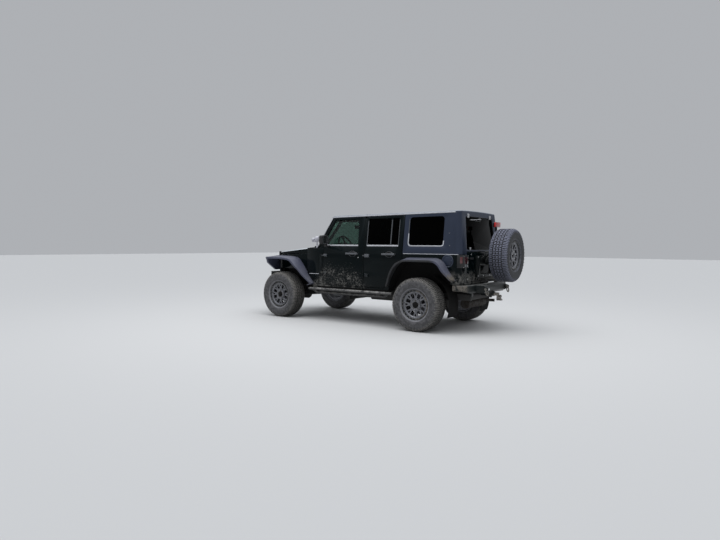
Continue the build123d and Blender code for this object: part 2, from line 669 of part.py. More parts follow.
def wheel_form():
    """Rim and spoked disc about the Y axis, with y = 0 in the middle of the rim."""
    half = RIM_WIDTH / 2
    barrel = [
        (BEAD_RADIUS - BARREL_WALL, -half + 4),
        (RIM_LIP_RADIUS, -half),
        (RIM_LIP_RADIUS, -half + LIP_WALL),
        (BEAD_RADIUS, -half + LIP_WALL),
        (BEAD_RADIUS, half - LIP_WALL),
        (RIM_LIP_RADIUS, half - LIP_WALL),
        (RIM_LIP_RADIUS, half),
        (BEAD_RADIUS - BARREL_WALL, half - 4),
    ]
    dish = [
        (SPINDLE_RADIUS + 1, DISC_BACK),
        (150, 66),
        (BEAD_RADIUS - 2, 84),
        (BEAD_RADIUS - 2, 112),
        (197, 109),
        (187, 98),
        (150, 90),
        (BOSS_RADIUS + 6, 83),
        (BOSS_RADIUS - 10, 96),
        (SPINDLE_RADIUS + 1, 97),
    ]
    rim = revolve(Plane.XY * polygon(barrel), Axis.Y)
    disc = revolve(Plane.XY * polygon(dish), Axis.Y)
    middle = 180 / SPOKES
    large = [polar(WINDOW_IN, middle - 12.5), polar(WINDOW_OUT, middle - 10.5),
             polar(WINDOW_OUT, middle + 10.5), polar(WINDOW_IN, middle + 12.5)]
    small = [polar(FORK_RADIUS, -2.2), polar(WINDOW_OUT, -5.8), polar(WINDOW_OUT, 5.8), polar(FORK_RADIUS, 2.2)]
    for i in range(SPOKES):
        turn = Rot(0, 360 / SPOKES * i, 0)
        for outline, radius in ((large, 13), (small, 4)):
            cut = extrude(Plane.XZ.offset(-150) * rounded(outline, radius), amount=110)
            disc = disc - turn * cut
    return rim + disc


def polar(radius, degrees):
    angle = math.radians(degrees)
    return (radius * math.cos(angle), radius * math.sin(angle))


def hub_form():
    """Hub with its bore and the brake rotor, for a road wheel on its spindle."""
    hub = [(SPINDLE_RADIUS + RUN, -88), (HUB_RADIUS, -88), (HUB_RADIUS, 60), (SPINDLE_RADIUS + RUN, 60)]
    rotor = [(HUB_RADIUS - 5, -88), (ROTOR_RADIUS, -88), (ROTOR_RADIUS, -88 + ROTOR_THICKNESS),
             (HUB_RADIUS - 5, -88 + ROTOR_THICKNESS)]
    cap = [(0, 62), (SPINDLE_RADIUS + 10, 62), (SPINDLE_RADIUS + 10, 88), (34, 96), (0, 96)]
    return joined([revolve(Plane.XY * polygon(p), Axis.Y) for p in (hub, rotor, cap)])


def tyre_form():
    half = TYRE_WIDTH / 2
    bead = RIM_WIDTH / 2 - LIP_WALL - SEAT
    upper = [(bead, BEAD_RADIUS + SEAT), (bead, RIM_LIP_RADIUS + 2), (bead + 18, RIM_LIP_RADIUS + 7)]
    right = Polyline(*[(r, y) for y, r in upper])
    bulge = ThreePointArc((RIM_LIP_RADIUS + 7, bead + 18), (330, half), (392, half - 3))
    tread = Polyline((392, half - 3), (414, half - 12), (TYRE_RADIUS, half - 32),
                     (TYRE_RADIUS, -half + 32), (414, -half + 12), (392, -half + 3))
    bulge2 = ThreePointArc((392, -half + 3), (330, -half), (RIM_LIP_RADIUS + 7, -bead - 18))
    left = Polyline((RIM_LIP_RADIUS + 7, -bead - 18), (RIM_LIP_RADIUS + 2, -bead), (BEAD_RADIUS + SEAT, -bead),
                    (BEAD_RADIUS + SEAT, bead))
    wire = Wire(right.edges() + [bulge] + tread.edges() + [bulge2] + left.edges())
    tyre = revolve(Plane.XY * make_face(wire), Axis.Y)
    pitch = 360 / SHOULDER_LUGS
    notch = block(TYRE_RADIUS - 26, TYRE_RADIUS + 5, half - 34, half + 5, -GROOVE / 2, GROOVE / 2)
    cuts = [Rot(0, pitch * i, 0) * notch for i in range(SHOULDER_LUGS)]
    cuts += [Rot(0, pitch * (i + 0.5), 0) * mirrored(notch) for i in range(SHOULDER_LUGS)]
    return tyre - cuts


def make_wheels():
    pieces = {}
    road = wheel_form() + hub_form()
    tyre = tyre_form()
    for end, x in (("front", WHEELBASE), ("rear", 0.0)):
        left = Pos(x, WHEEL_Y, TYRE_RADIUS)
        pieces[f"wheel_{end}_left"] = left * road
        pieces[f"wheel_{end}_right"] = mirrored(left * road)
        pieces[f"tyre_{end}_left"] = left * tyre
        pieces[f"tyre_{end}_right"] = mirrored(left * tyre)
    spare_place = Pos(SPARE_CENTRE_X, SPARE_Y, SPARE_Z) * Rot(0, 0, 90)
    spare_cap = revolve(Plane.XY * polygon([(0, DISC_BACK), (SPINDLE_RADIUS + 5, DISC_BACK), (SPINDLE_RADIUS + 5, 92), (0, 92)]), Axis.Y)
    pieces["spare_wheel"] = spare_place * (wheel_form() + spare_cap)
    pieces["spare_tyre"] = spare_place * tyre
    return pieces


def caliper(y0):
    """A brake caliper behind the axle, over the rotor, at the wheel centre."""
    form = block(-190, -105, y0, y0 + 72, -52, 52)
    slot = Pos(0, y0 + 36, 0) * Rot(90, 0, 0) * Cylinder(ROTOR_RADIUS + 6, ROTOR_THICKNESS + 12)
    return form - slot


def make_knuckle():
    """Left knuckle about its wheel centre height, with kingpins, spindle, arm and caliper."""
    rotor_y = WHEEL_Y - 88 + ROTOR_THICKNESS / 2
    body = block(-42, 42, KINGPIN_Y - 35, KINGPIN_Y + 36, -78, 78)
    pins = [rod((0, KINGPIN_Y, z0), (0, KINGPIN_Y, z1), KINGPIN_RADIUS) for z0, z1 in ((-108, -70), (70, 108))]
    spindle = rod((0, KINGPIN_Y + 30, 0), (0, WHEEL_Y + 57, 0), SPINDLE_RADIUS)
    arm = block(30, STEER_ARM + 14, KINGPIN_Y - 14, KINGPIN_Y + 14, -30, -6)
    stud = rod((STEER_ARM, KINGPIN_Y, -62), (STEER_ARM, KINGPIN_Y, -20), 8)
    brake = caliper(rotor_y - 36)
    bracket = block(-125, -30, KINGPIN_Y + 10, rotor_y - 20, -40, 40)
    form = joined([body, spindle, arm, stud, bracket, brake] + pins)
    return Pos(WHEELBASE, 0, TYRE_RADIUS) * form


def make_tie_rod():
    z = -51.0
    x = STEER_ARM
    bar = rod((x, -KINGPIN_Y + 15, z), (x, KINGPIN_Y - 15, z), 13)
    eyes = [Pos(x, y, z) * Cylinder(20, 22) for y in (KINGPIN_Y, -KINGPIN_Y)]
    form = joined([bar] + eyes)
    for y in (KINGPIN_Y, -KINGPIN_Y):
        form = form - Pos(x, y, z) * Cylinder(8 + RUN, 60)
    return Pos(WHEELBASE, 0, TYRE_RADIUS) * form


def make_front_axle():
    tube = rod((0, -600, 0), (0, 600, 0), AXLE_TUBE_RADIUS)
    yoke = block(-36, 36, 596, 622, -110, 110)
    ears = [block(-30, 30, 600, KINGPIN_Y + 28, z0, z1) for z0, z1 in ((-107, -85), (85, 107))]
    yoke = joined([yoke] + ears)
    yoke = yoke - rod((0, KINGPIN_Y, -120), (0, KINGPIN_Y, 120), KINGPIN_RADIUS + RUN)
    diff = rod((-105, 250, 0), (112, 250, 0), DIFF_RADIUS)
    pads = [block(DAMPER_X - 28, 52, y - 52, y + 52, 20, PAD_Z - TYRE_RADIUS) for y in (SPRING_Y, -SPRING_Y)]
    form = joined([tube, yoke, mirrored(yoke), diff] + pads)
    return Pos(WHEELBASE, 0, TYRE_RADIUS) * form


def make_rear_axle():
    rotor_y = WHEEL_Y - 88 + ROTOR_THICKNESS / 2
    tube = rod((0, -736, 0), (0, 736, 0), AXLE_TUBE_RADIUS)
    diff = rod((-112, 0, 0), (105, 0, 0), DIFF_RADIUS)
    ends = []
    for side in (1, -1):
        ends.append(rod((0, side * 700, 0), (0, side * (WHEEL_Y + 57), 0), SPINDLE_RADIUS))
    brake = caliper(rotor_y - 36) + block(-125, -20, KINGPIN_Y + 10, rotor_y - 20, -40, 40)
    pads = [block(DAMPER_X - 28, 52, y - 52, y + 52, 20, PAD_Z - TYRE_RADIUS) for y in (SPRING_Y, -SPRING_Y)]
    form = joined([tube, diff, brake, mirrored(brake)] + ends + pads)
    return Pos(0, 0, TYRE_RADIUS) * form


# Springs, dampers and lower arms
SPRING_Y = 495.0
PAD_Z = TYRE_RADIUS + 50
DAMPER_X = -85.0
DAMPER_Y = 490.0
DAMPER_RADIUS = 22.0
ARM_Y = 445.0
ARM_RADIUS = 22.0
ARM_LENGTH = 640.0
ARM_END_Z = 455.0
SPRING_RADIUS = 50.0
SPRING_TOP_Z = 700.0
COILS = 7


def coil_spring(x, y):
    """A coil spring as a stack of rings on a core."""
    z0 = PAD_Z + SEAT
    z1 = SPRING_TOP_Z - SEAT
    pitch = (z1 - z0) / COILS
    points = [(SPRING_RADIUS - 18, 0)]
    for i in range(COILS):
        points += [(SPRING_RADIUS, pitch * i + 2), (SPRING_RADIUS, pitch * i + 14), (SPRING_RADIUS - 18, pitch * i + 20)]
    outline = [(0, 0)] + points + [(SPRING_RADIUS - 18, z1 - z0), (0, z1 - z0)]
    form = revolve(Plane.XZ * polygon(outline), Axis.Z)
    return Pos(x, y, z0) * form


def make_suspension():
    """Lower arms and dampers of both axles, on the left and the right."""
    parts = []
    for x, way in ((WHEELBASE, -1), (0.0, 1)):
        for side in (1, -1):
            y = side * ARM_Y
            start = (x + way * (AXLE_TUBE_RADIUS + ARM_RADIUS + 2), y, 400)
            parts.append(pipe([start, (x + way * ARM_LENGTH, y, ARM_END_Z)], ARM_RADIUS))
            lower = (x + DAMPER_X, side * DAMPER_Y, PAD_Z + SEAT)
            parts.append(rod(lower, (x + DAMPER_X, side * DAMPER_Y, SPRING_TOP_Z - SEAT), DAMPER_RADIUS))
    return parts


def make_frame():
    rails = [block(RAIL_X[0], RAIL_X[1], s * RAIL_Y - RAIL_WIDTH / 2, s * RAIL_Y + RAIL_WIDTH / 2, *RAIL_Z)
             for s in (1, -1)]
    inner = RAIL_Y - RAIL_WIDTH / 2 + 5
    members = [(-690, -630, 500, 590), (230, 290, 545, 590), (3330, 3400, 510, 590)]
    bars = [block(x0, x1, -inner, inner, z0, z1) for x0, x1, z0, z1 in members]
    drop = block(1680, 1740, -430, 430, 365, 404.7)
    legs = [block(1680, 1740, s * 370, s * 430, 380, 500) for s in (1, -1)]
    towers = []
    for x in (WHEELBASE, 0.0):
        for s in (1, -1):
            plate = block(x + DAMPER_X - 32, x + 58, s * 430, s * (SPRING_Y + 55), SPRING_TOP_Z, SPRING_TOP_Z + 16)
            wall = block(x - 58, x + 58, s * 425, s * 441, 500, SPRING_TOP_Z + 16)
            towers += [plate, wall]
    arms = []
    for x in (WHEELBASE - ARM_LENGTH, ARM_LENGTH):
        for s in (1, -1):
            arms.append(block(x - 34, x + 34, s * 400, s * (ARM_Y + 20), ARM_END_Z + ARM_RADIUS + SEAT, 520))
    mounts = [block(2690, 2770, s * 230.3, s * 380, 562, 588) for s in (1, -1)]
    body_mounts = [Pos(x, s * RAIL_Y, 595 - SEAT / 2) * Cylinder(34, 10 - SEAT) for x in (760, 1500, 2150) for s in (1, -1)]
    return joined(rails + bars + [drop] + legs + towers + arms + mounts + body_mounts)


def make_engine_block():
    return block(WHEELBASE - 601, WHEELBASE + 94, -230, 230, 560, 1100)


def make_driveline():
    gearbox = rod((1560, 0, 500), (WHEELBASE - 601 - SEAT, 0, 500), 95)
    case = block(1330, 1600, -120, 270, 410, 590)
    rear_shaft = rod((1340, 0, 480), (108, 0, TYRE_RADIUS), 34)
    front_shaft = rod((1590, 235, 470), (WHEELBASE - 108, 248, TYRE_RADIUS + 20), 28)
    return joined([gearbox, case, rear_shaft, front_shaft])


def make_exhaust():
    line = pipe([(2500, -310, 515), (-250, -310, 515), (-470, -310, 440)], 25)
    muffler = rod((-560, -340, 430), (-560, 330, 430), 78)
    joint = rod((-470, -310, 440), (-540, -300, 432), 25)
    tail = pipe([(-560, -320, 430), (-600, -520, 430), (-690, -560, 430)], 25)
    flange = block(2440, 2500, -318, -230.3, 505, 600)
    return joined([line, muffler, joint, tail, flange])


def make_fuel_tank():
    tank = block(300, 1250, 120, 369.7, 390, 585)
    return fillet(tank.edges().filter_by(Axis.X), 40)


def make_rear_bumper():
    outer = [(-582, 830), (-777, 825), (-800, 440), (-930, 400), (-930, -400), (-800, -440), (-777, -825), (-582, -830)]
    inner = [(-560, 775), (-710, 775), (-710, -775), (-560, -775)]
    face = polygon(outer)
    low, high = REAR_BUMPER_Z
    body = plan_prism(face, low + 34, high - 10)
    skirt = extrude(Plane.XY.offset(low + 34) * face, amount=-34, taper=38)
    edge = extrude(Plane.XY.offset(high - 10) * face, amount=10, taper=45)
    rise = polygon([(560, low - 1), (840, low - 1), (840, low + 52)])
    rise = cross_prism(rise, -900, -560)
    form = joined([body, skirt, edge]) - plan_prism(polygon(inner), 500, 900) - rise - mirrored(rise)
    raised = plan_prism(polygon([(-850, 310), (-926, 310), (-926, -310), (-850, -310)]), high - 5, 765)
    crest = extrude(Plane.XY.offset(765) * polygon([(-850, 310), (-926, 310), (-926, -310), (-850, -310)]),
                    amount=10, taper=45)
    raised = raised + crest
    receiver = block(-915, -700, -32, 32, 556, 622)
    form = joined([form, raised, receiver]) - block(-916, -760, -25.5, 25.5, 563.5, 614.5)
    tabs = []
    for s in (1, -1):
        tab = side_prism(polygon([(-925, 650), (-985, 665), (-985, 715), (-925, 730)]), s * 430 - 10, s * 430 + 10)
        bore = rod((-960, s * 430 - 20, 690), (-960, s * 430 + 20, 690), 12)
        tabs.append(tab - bore)
        mount_block = block(-930, -780, s * 400 - 0, s * 442, 640, 740)
        tabs.append(mount_block)
    braces = [block(-715, RAIL_X[0] - SEAT, s * 370, s * 430, 560, 640) for s in (1, -1)]
    return joined([form] + tabs + braces)


def make_front_bumper():
    z0, z1 = FRONT_BUMPER_Z
    beam = block(FRONT_BUMPER_BACK_X, FRONT_REACH - 55, -FRONT_BUMPER_HALF, FRONT_BUMPER_HALF, z0, z1)
    beam = chamfer(beam.edges().filter_by(Axis.Z).group_by(Axis.X)[-1], 60)
    front_edges = beam.edges().filter_by(Axis.Y).group_by(Axis.X)[-1]
    beam = chamfer(front_edges, 30)
    tabs = []
    for s in (1, -1):
        tab = side_prism(polygon([(3530, 690), (FRONT_REACH, 705), (FRONT_REACH, 760), (3530, 780)]), s * 400 - 11, s * 400 + 11)
        bore = rod((3572, s * 400 - 20, 732), (3572, s * 400 + 20, 732), 12)
        tabs.append(tab - bore)
    brackets = [block(FRONT_BUMPER_BACK_X, FRONT_BUMPER_BACK_X + 80, s * 370, s * 430, 540, 670) for s in (1, -1)]
    return joined([beam] + tabs + brackets)


def make_rock_slider():
    """Left side rail: an upper tube, a thinner lower tube and legs to the frame."""
    upper = pipe([(2291, 850, 563), (505, 850, 563)], 24)
    lower = pipe([(2240, 840, 563), (2140, 820, 502), (660, 820, 502), (560, 840, 563)], 18)
    legs = [block(x - 20, x + 20, RAIL_Y + RAIL_WIDTH / 2 + SEAT, 835, 520, 566) for x in (800, 1400, 2000)]
    return joined([upper, lower] + legs)


def flare_loft(inner_line, outer_line, y_in, y_out, wall):
    """A thick band that runs from the body line to the outer line."""
    faces = []
    for points, y in ((inner_line, y_in), (outer_line, y_out)):
        line = eased(points, FLARE_EASE)
        ring = line + offset_line(line, wall)[::-1]
        faces.append(Plane.XZ.offset(-y) * polygon(ring))
    return loft(faces, ruled=True)


# Flare lines in side view, (x, z), front to rear along the top
FRONT_FLARE_IN = [(3312, 1150), (2700, 1150), (2592, 1042), (2424, 838), (2248, 668)]
FRONT_FLARE_OUT = [(3312, 1120), (2690, 1120), (2581, 1008), (2416, 790), (2248, 652)]
REAR_FLARE_IN = [(610, 668), (506, 900), (392, 1062), (250, 1140), (-318, 1140), (-412, 1080), (-480, 965), (-612, 806)]
REAR_FLARE_OUT = [(585, 668), (480, 895), (366, 1048), (226, 1102), (-310, 1102), (-392, 1050), (-452, 950), (-560, 830)]
FLARE_OUT_Y = 960.0
FLARE_EASE = 55.0


def make_flares():
    rear = flare_loft(REAR_FLARE_IN, REAR_FLARE_OUT, 770, FLARE_OUT_Y, 30)
    rear_cut = cross_prism(polygon([(FLARE_OUT_Y, 980), (862, 660), (1100, 600), (1100, 980)]), -700, 700)
    rear = rear - rear_cut - tub_form(SEAT)
    front = flare_loft(FRONT_FLARE_IN, FRONT_FLARE_OUT, 560, FLARE_OUT_Y, -32)
    front_cut = cross_prism(polygon([(FLARE_OUT_Y, 1010), (850, 650), (1100, 600), (1100, 1010)]), 2200, 2700)
    front = front - front_cut
    gusset = cross_prism(polygon([(958, 1118), (925, 1010), (720, 872), (600, 872), (600, 1150)]), 3270, 3312)
    front = front + gusset
    wall = plan_prism(polygon([(2200, 0), (2200, 806), (FRONT_DOOR_X[1] + 240, 771.5), (TUB_FRONT_X, TUB_FRONT_HALF + SEAT),
                               (TUB_FRONT_X + 4, 722 + SEAT), (3290, 584 + SEAT), (3290, 0)]), 500, 1400)
    hood_line = [(2400, 1196), (3231, 1154), (3340, 1130), (3340, 1400), (2400, 1400)]
    hood_plan = [(2400, 0), (2400, 727), (3231, 605), (3340, 584), (3340, 0)]
    hood_room = side_prism(polygon(hood_line), 0, 900) & plan_prism(polygon(hood_plan), 1000, 1500)
    front = front - wall - hood_room
    return front, rear


def make_fender():
    """Left inner fender wall between the cowl and the grille, with its top ledge."""
    wall = plan_prism(polygon([(TUB_FRONT_X + 4, 722), (3257.7, 589), (3257.7, 564), (TUB_FRONT_X + 4, 697)]), 905, 1300)
    ledge = plan_prism(polygon([(TUB_FRONT_X + 4, 700), (3257.7, 567), (3257.7, 500), (TUB_FRONT_X + 4, 640)]), 1120, 1145)
    top = side_prism(polygon([(2400, 1300), (2400, 1199), (3231, 1155), (3300, 1139), (3300, 1300)]), 0, 900)
    return (wall + ledge) - top


def hood_section(x, half, z_side, z_edge, z_crown, inset):
    """A cross section of the hood form, with rounded shoulders."""
    half = half - inset
    z_edge = z_edge - inset
    z_crown = z_crown - inset
    low = z_side - (1 if inset else 0)
    shoulder = 60.0 - inset
    knee = z_edge - 20.0
    points = [(half, knee), (half - shoulder * 0.35, z_edge - 8), (half - shoulder, z_edge)]
    edges = [
        Line((-half, low), (half, low)),
        Line((half, low), (half, knee)),
        ThreePointArc(*points),
        ThreePointArc(points[2], (0, z_crown), (-points[2][0], z_edge)),
        ThreePointArc((-points[2][0], z_edge), (-points[1][0], z_edge - 8), (-half, knee)),
        Line((-half, knee), (-half, low)),
    ]
    return Plane.YZ.offset(x) * make_face(Wire(edges))


# Hood sections: x, half width, side bottom, edge height, crown height
HOOD_SECTIONS = [
    (HOOD_REAR_X, 712, 1204, 1306, 1328),
    (3231, 596, 1162, 1232, 1252),
    (3326, 578, 1140, 1190, 1206),
]


def make_hood():
    def form(inset):
        rows = HOOD_SECTIONS
        solids = []
        for a, b in zip(rows, rows[1:]):
            solids.append(loft([hood_section(*a, inset), hood_section(*b, inset)], ruled=True))
        return joined(solids)
    outer = form(0)
    inner = form(HOOD_WALL) & block(HOOD_REAR_X + HOOD_WALL, HOOD_SECTIONS[-1][0] - 22, -900, 900, 1000, 1400)
    hood = outer - inner
    x, z = HOOD_HINGE
    for y in (430, -430):
        hood = hood + Pos(x, y, z) * Rot(90, 0, 0) * Cylinder(9, 36)
        hood = hood + block(x, x + 70, y - 18, y + 18, z - 9, z - 1)
        hood = hood + block(x + 24, x + 70, y - 18, y + 18, z - 30, z - 2)
        hood = hood - Pos(x, y, z) * Rot(90, 0, 0) * Cylinder(4 + RUN, 60)
    return hood


def hood_hinge_body():
    x, z = HOOD_HINGE
    parts = []
    for y in (430, -430):
        parts.append(Pos(x, y, z) * Rot(90, 0, 0) * Cylinder(4, 64))
        for side in (-1, 1):
            lug_y = y + side * 26
            lug = side_prism(polygon([(x + 9, z + 9), (x + 9, z - 9), (x - 2, z - 12), (x - 10, COWL_TOP_Z - 4),
                                      (x - 70, COWL_TOP_Z - 4), (x - 12, z + 9)]), lug_y - 6, lug_y + 6)
            parts.append(lug)
    return joined(parts)


def make_grille_panel():
    outline = rounded([(-585, 800), (-500, 765), (500, 765), (585, 800), (560, 1132), (-560, 1132)], 24)
    panel = cross_prism(outline, 3258, 3290)
    slot = rounded([(-19, 840), (19, 840), (19, 1100), (-19, 1100)], 17)
    slots = 9
    for i in range(slots):
        y = (i - (slots - 1) / 2) * 62
        panel = panel - cross_prism(Pos(y, 0) * slot, 3250, 3300)
    for s in (1, -1):
        panel = panel - rod((3240, s * 425, 1020), (3300, s * 425, 1020), 90 + SEAT)
    core = block(3215, 3258, -310, 310, 790, 1110)
    feet = [block(3215, 3290, s * 400, s * 460, 590 + SEAT, 790) for s in (1, -1)]
    return joined([panel, core] + feet)


def pod_lamps(side):
    """A large and a small round lamp on one bracket that stands on the cowl."""
    parts = []
    for x, z, radius, length in ((2192, 1468, 50, 76), (2284, 1452, 37, 62)):
        body = Pos(x, side * 746, z) * Rot(0, 90, 0) * Cylinder(radius, length)
        parts.append(fillet(body.edges().filter_by(GeomType.CIRCLE), radius * 0.45))
    parts.append(block(2176, 2296, side * 752, side * 764, 1405, 1440))
    parts.append(block(2180, 2204, side * 752, side * 764, COWL_TOP_Z + SEAT, 1425))
    return joined(parts)


def make_head_lamps():
    lamps = []
    outline = [(3225, 0), (3225, 60), (3262, 88), (3290, 90), (3302, 70), (3308, 0)]
    form = revolve(Plane.XY * polygon(outline), Axis.X)
    for s in (1, -1):
        lamps.append(Pos(0, s * 425, 1020) * form)
        lamps.append(block(3312.3, 3330, s * 690, s * 730, 990, 1060))
        lamps.append(pod_lamps(s))
    return lamps


def make_tail_lamps():
    left = block(TUB_REAR_X - 62, -642, 640, 806, 1021, 1214)
    left = fillet(left.edges().filter_by(Axis.Z).group_by(Axis.X)[0], 22)
    return both(left - tub_form(SEAT))


def make_windscreen_frame():
    z_top = roof_crease_z(ROOF_FRONT_X) - ROOF_CAP - SEAT
    rear_line = [
        (FRONT_DOOR_X[1] + PANEL_GAP, COWL_TOP_Z + SEAT),
        (FRONT_DOOR_X[1] + PANEL_GAP, FRONT_EDGE_KNEE_Z + 4),
        (pillar_x(z_top) - PILLAR_X_WIDTH + 9, z_top),
    ]
    outline = [(pillar_x(COWL_TOP_Z + SEAT), COWL_TOP_Z + SEAT)] + rear_line + [(pillar_x(z_top), z_top)]
    lean = [(SCREEN_FOOT_HALF, SCREEN_FOOT[1]), (SCREEN_HEAD_HALF, SCREEN_HEAD[1]),
            (SCREEN_HEAD_HALF - PILLAR_WALL, SCREEN_HEAD[1]), (SCREEN_FOOT_HALF - PILLAR_WALL, SCREEN_FOOT[1])]
    leg = side_prism(polygon(outline), 500, 900) & cross_prism(polygon(lean), 1600, 2300)
    rails = []
    for z0, z1, half in ((COWL_TOP_Z + SEAT, 1372, 700), (1772, z_top, 650)):
        rail = [(pillar_x(z0), z0), (pillar_x(z0) - 60, z0), (pillar_x(z1) - 60, z1), (pillar_x(z1), z1)]
        rails.append(side_prism(polygon(rail), -half, half))
    return joined([leg, mirrored(leg)] + rails)


def make_windscreen():
    sheet = [(pillar_x(1372.3) - 16, 1372.3), (pillar_x(1372.3) - 24, 1372.3), (pillar_x(1771.7) - 24, 1771.7),
             (pillar_x(1771.7) - 16, 1771.7)]
    lean = (SCREEN_HEAD_HALF - SCREEN_FOOT_HALF) / (SCREEN_HEAD[1] - SCREEN_FOOT[1])
    def half(z):
        return SCREEN_FOOT_HALF + (z - SCREEN_FOOT[1]) * lean - PILLAR_WALL - SEAT
    face = polygon([(-half(1300), 1300), (half(1300), 1300), (half(1800), 1800), (-half(1800), 1800)])
    return side_prism(polygon(sheet), -800, 800) & cross_prism(face, 1600, 2300)


def make_seats():
    def front(y):
        base = block(1360, 1760, y - 190, y + 190, FLOOR_Z + FLOOR + SEAT, 810)
        cushion = side_prism(rounded([(1290, 800), (1800, 820), (1800, 970), (1290, 920)], 40), y - 250, y + 250)
        back = side_prism(rounded([(1290, 900), (1420, 920), (1270, 1560), (1150, 1540)], 40), y - 245, y + 245)
        head = side_prism(rounded([(1165, 1530), (1255, 1540), (1230, 1730), (1140, 1715)], 30), y - 120, y + 120)
        return joined([base, cushion, back, head])
    bench = joined([
        block(600, 930, -500, 500, FLOOR_Z + FLOOR + SEAT, 830),
        side_prism(rounded([(520, 810), (990, 830), (990, 970), (520, 940)], 40), -550, 550),
        side_prism(rounded([(480, 900), (620, 930), (520, 1500), (400, 1490)], 40), -545, 545),
    ])
    return [front(380), front(-380), bench]


def make_dashboard():
    outline = [(FIREWALL_X - SEAT, 1010), (FIREWALL_X - SEAT, 1272), (2120, 1272), (2080, 1330), (1990, 1300), (1965, 1180), (2060, 1010)]
    form = side_prism(rounded(outline, 8), -672, 672)
    form = form - block(2085, 2300, -700, 700, 1274.5, 1400)
    centre, axis = steering_axis()
    return form - rod(centre, centre - axis * 201, 26 + SEAT)


def steering_axis():
    """Centre of the steering wheel and the line of its column, towards the driver."""
    tilt = math.radians(25)
    return Vector(1828, 370, 1352), Vector(-math.cos(tilt), 0, math.sin(tilt))


def make_steering_wheel():
    centre, axis = steering_axis()
    rim = Torus(178, 15)
    spokes = [Rot(0, 0, turn) * Pos(100, 0, 0) * Box(150, 34, 12) for turn in (0, 180, 270)]
    form = joined([rim, Cylinder(56, 36), Pos(0, 0, -100) * Cylinder(26, 200)] + spokes)
    return Plane(origin=centre, x_dir=(0, 1, 0), z_dir=axis) * form


def make_roll_cage():
    r = 26
    half_top = 600
    side = pipe([
        (2050, 640, 1364), (1725, half_top, 1800), (300, half_top, 1820), (-430, 620, 1145),
    ], r)
    leg = pipe([(1119, half_top, 1808.5), (1119, 618, 1340), (1119, 618, FLOOR_Z + FLOOR + SEAT)], r)
    c_leg = pipe([(300, half_top, 1820), (300, 510, 1300), (300, 510, CARGO_FLOOR_Z + CARGO_FLOOR + SEAT)], r)
    bars = [rod((x, -half_top, z), (x, half_top, z), r) for x, z in ((1119, 1808.5), (300, 1820), (1725, 1800))]
    side = side + leg + c_leg
    return joined([side, mirrored(side)] + bars)


def make_mirror():
    """Left door mirror: a housing on an arm."""
    shell = rounded([(852, 1362), (1022, 1372), (1022, 1522), (852, 1535)], 34)
    housing = cross_prism(shell, 1848, 1932)
    housing = chamfer(housing.faces().sort_by(Axis.X)[-1].edges(), 16)
    glass_recess = cross_prism(offset(shell, amount=-10), 1840, 1854)
    arm = block(1865, 1925, 755, 860, 1322, 1352)
    neck = block(1870, 1920, 850, 885, 1330, 1380)
    body = side_band(1700, 2100, -SEAT, 100, 100, WINDOW_SILL_Z)
    return joined([housing, arm, neck]) - glass_recess - body


def make_pieces():
    pieces = {}
    flare_front, flare_rear = make_flares()
    fender = make_fender()
    screen = make_windscreen()
    quarter = pane([QUARTER_WINDOW], QUARTER_RADIUS)[0]
    slider = make_rock_slider()
    front_door = make_door(FRONT_DOOR, [FRONT_WINDOW], "front", (1235, 1480, 1210))
    rear_door = make_door(REAR_DOOR, REAR_WINDOWS, "rear", (475, 725, 1210))
    front_glass = pane([FRONT_WINDOW], WINDOW_RADIUS)
    rear_glass = pane(REAR_WINDOWS, WINDOW_RADIUS)
    mirror_left = make_mirror()
    knuckle = make_knuckle()
    pieces["frame"] = make_frame()
    pieces["tub"] = make_tub()
    pieces["fenders"] = both(fender)
    pieces["grille_panel"] = make_grille_panel()
    pieces["front_lamps"] = make_head_lamps()
    pieces["tail_lamps"] = make_tail_lamps()
    pieces["windscreen_frame"] = make_windscreen_frame()
    pieces["fixed_glass"] = [screen] + both(quarter)
    pieces["roof_panels"] = make_roof_panels()
    pieces["hardtop"] = make_hardtop()
    pieces["lift_glass"] = make_lift_glass()
    pieces["front_bumper"] = make_front_bumper()
    pieces["rear_bumper"] = make_rear_bumper()
    pieces["rock_sliders"] = both(slider)
    pieces["fender_flares"] = both(flare_front) + both(flare_rear)
    pieces["front_axle"] = make_front_axle()
    pieces["rear_axle"] = make_rear_axle()
    pieces["coil_springs"] = [coil_spring(x, s * SPRING_Y) for x in (WHEELBASE, 0.0) for s in (1, -1)]
    pieces["suspension"] = make_suspension()
    pieces["engine_block"] = make_engine_block()
    pieces["driveline"] = make_driveline()
    pieces["exhaust"] = make_exhaust()
    pieces["fuel_tank"] = make_fuel_tank()
    pieces["seats"] = make_seats()
    pieces["dashboard"] = make_dashboard()
    pieces["steering_wheel"] = make_steering_wheel()
    pieces["roll_cage"] = make_roll_cage()
    pieces["hood"] = make_hood()
    for name, shape in (("door_front", front_door), ("door_rear", rear_door), ("mirror", mirror_left), ("knuckle", knuckle)):
        pieces[f"{name}_left"] = shape
        pieces[f"{name}_right"] = mirrored(shape)
    for name, panes in (("door_glass_front", front_glass), ("door_glass_rear", rear_glass)):
        pieces[f"{name}_left"] = panes
        pieces[f"{name}_right"] = [mirrored(p) for p in panes]
    pieces["tailgate"] = make_tailgate()
    pieces["tailgate_handle"] = make_tailgate_handle()
    pieces["spare_carrier"] = make_spare_carrier()
    pieces["tie_rod"] = make_tie_rod()
    pieces.update(make_wheels())
    return pieces


def solids_of(shape):
    shapes = shape if isinstance(shape, list) else [shape]
    found = []
    for item in shapes:
        found += list(item.solids())
    return found


if __name__ == "__main__":
    os.makedirs("parts", exist_ok=True)
    for name, shape in make_pieces().items():
        solids = [Pos(SHIFT_X, 0, 0) * s for s in solids_of(shape)]
        export_step(solids[0] if len(solids) == 1 else Compound(children=solids), f"parts/{name}.step")
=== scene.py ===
import bmesh
import bpy
import json
import math
from mathutils import Matrix, Vector


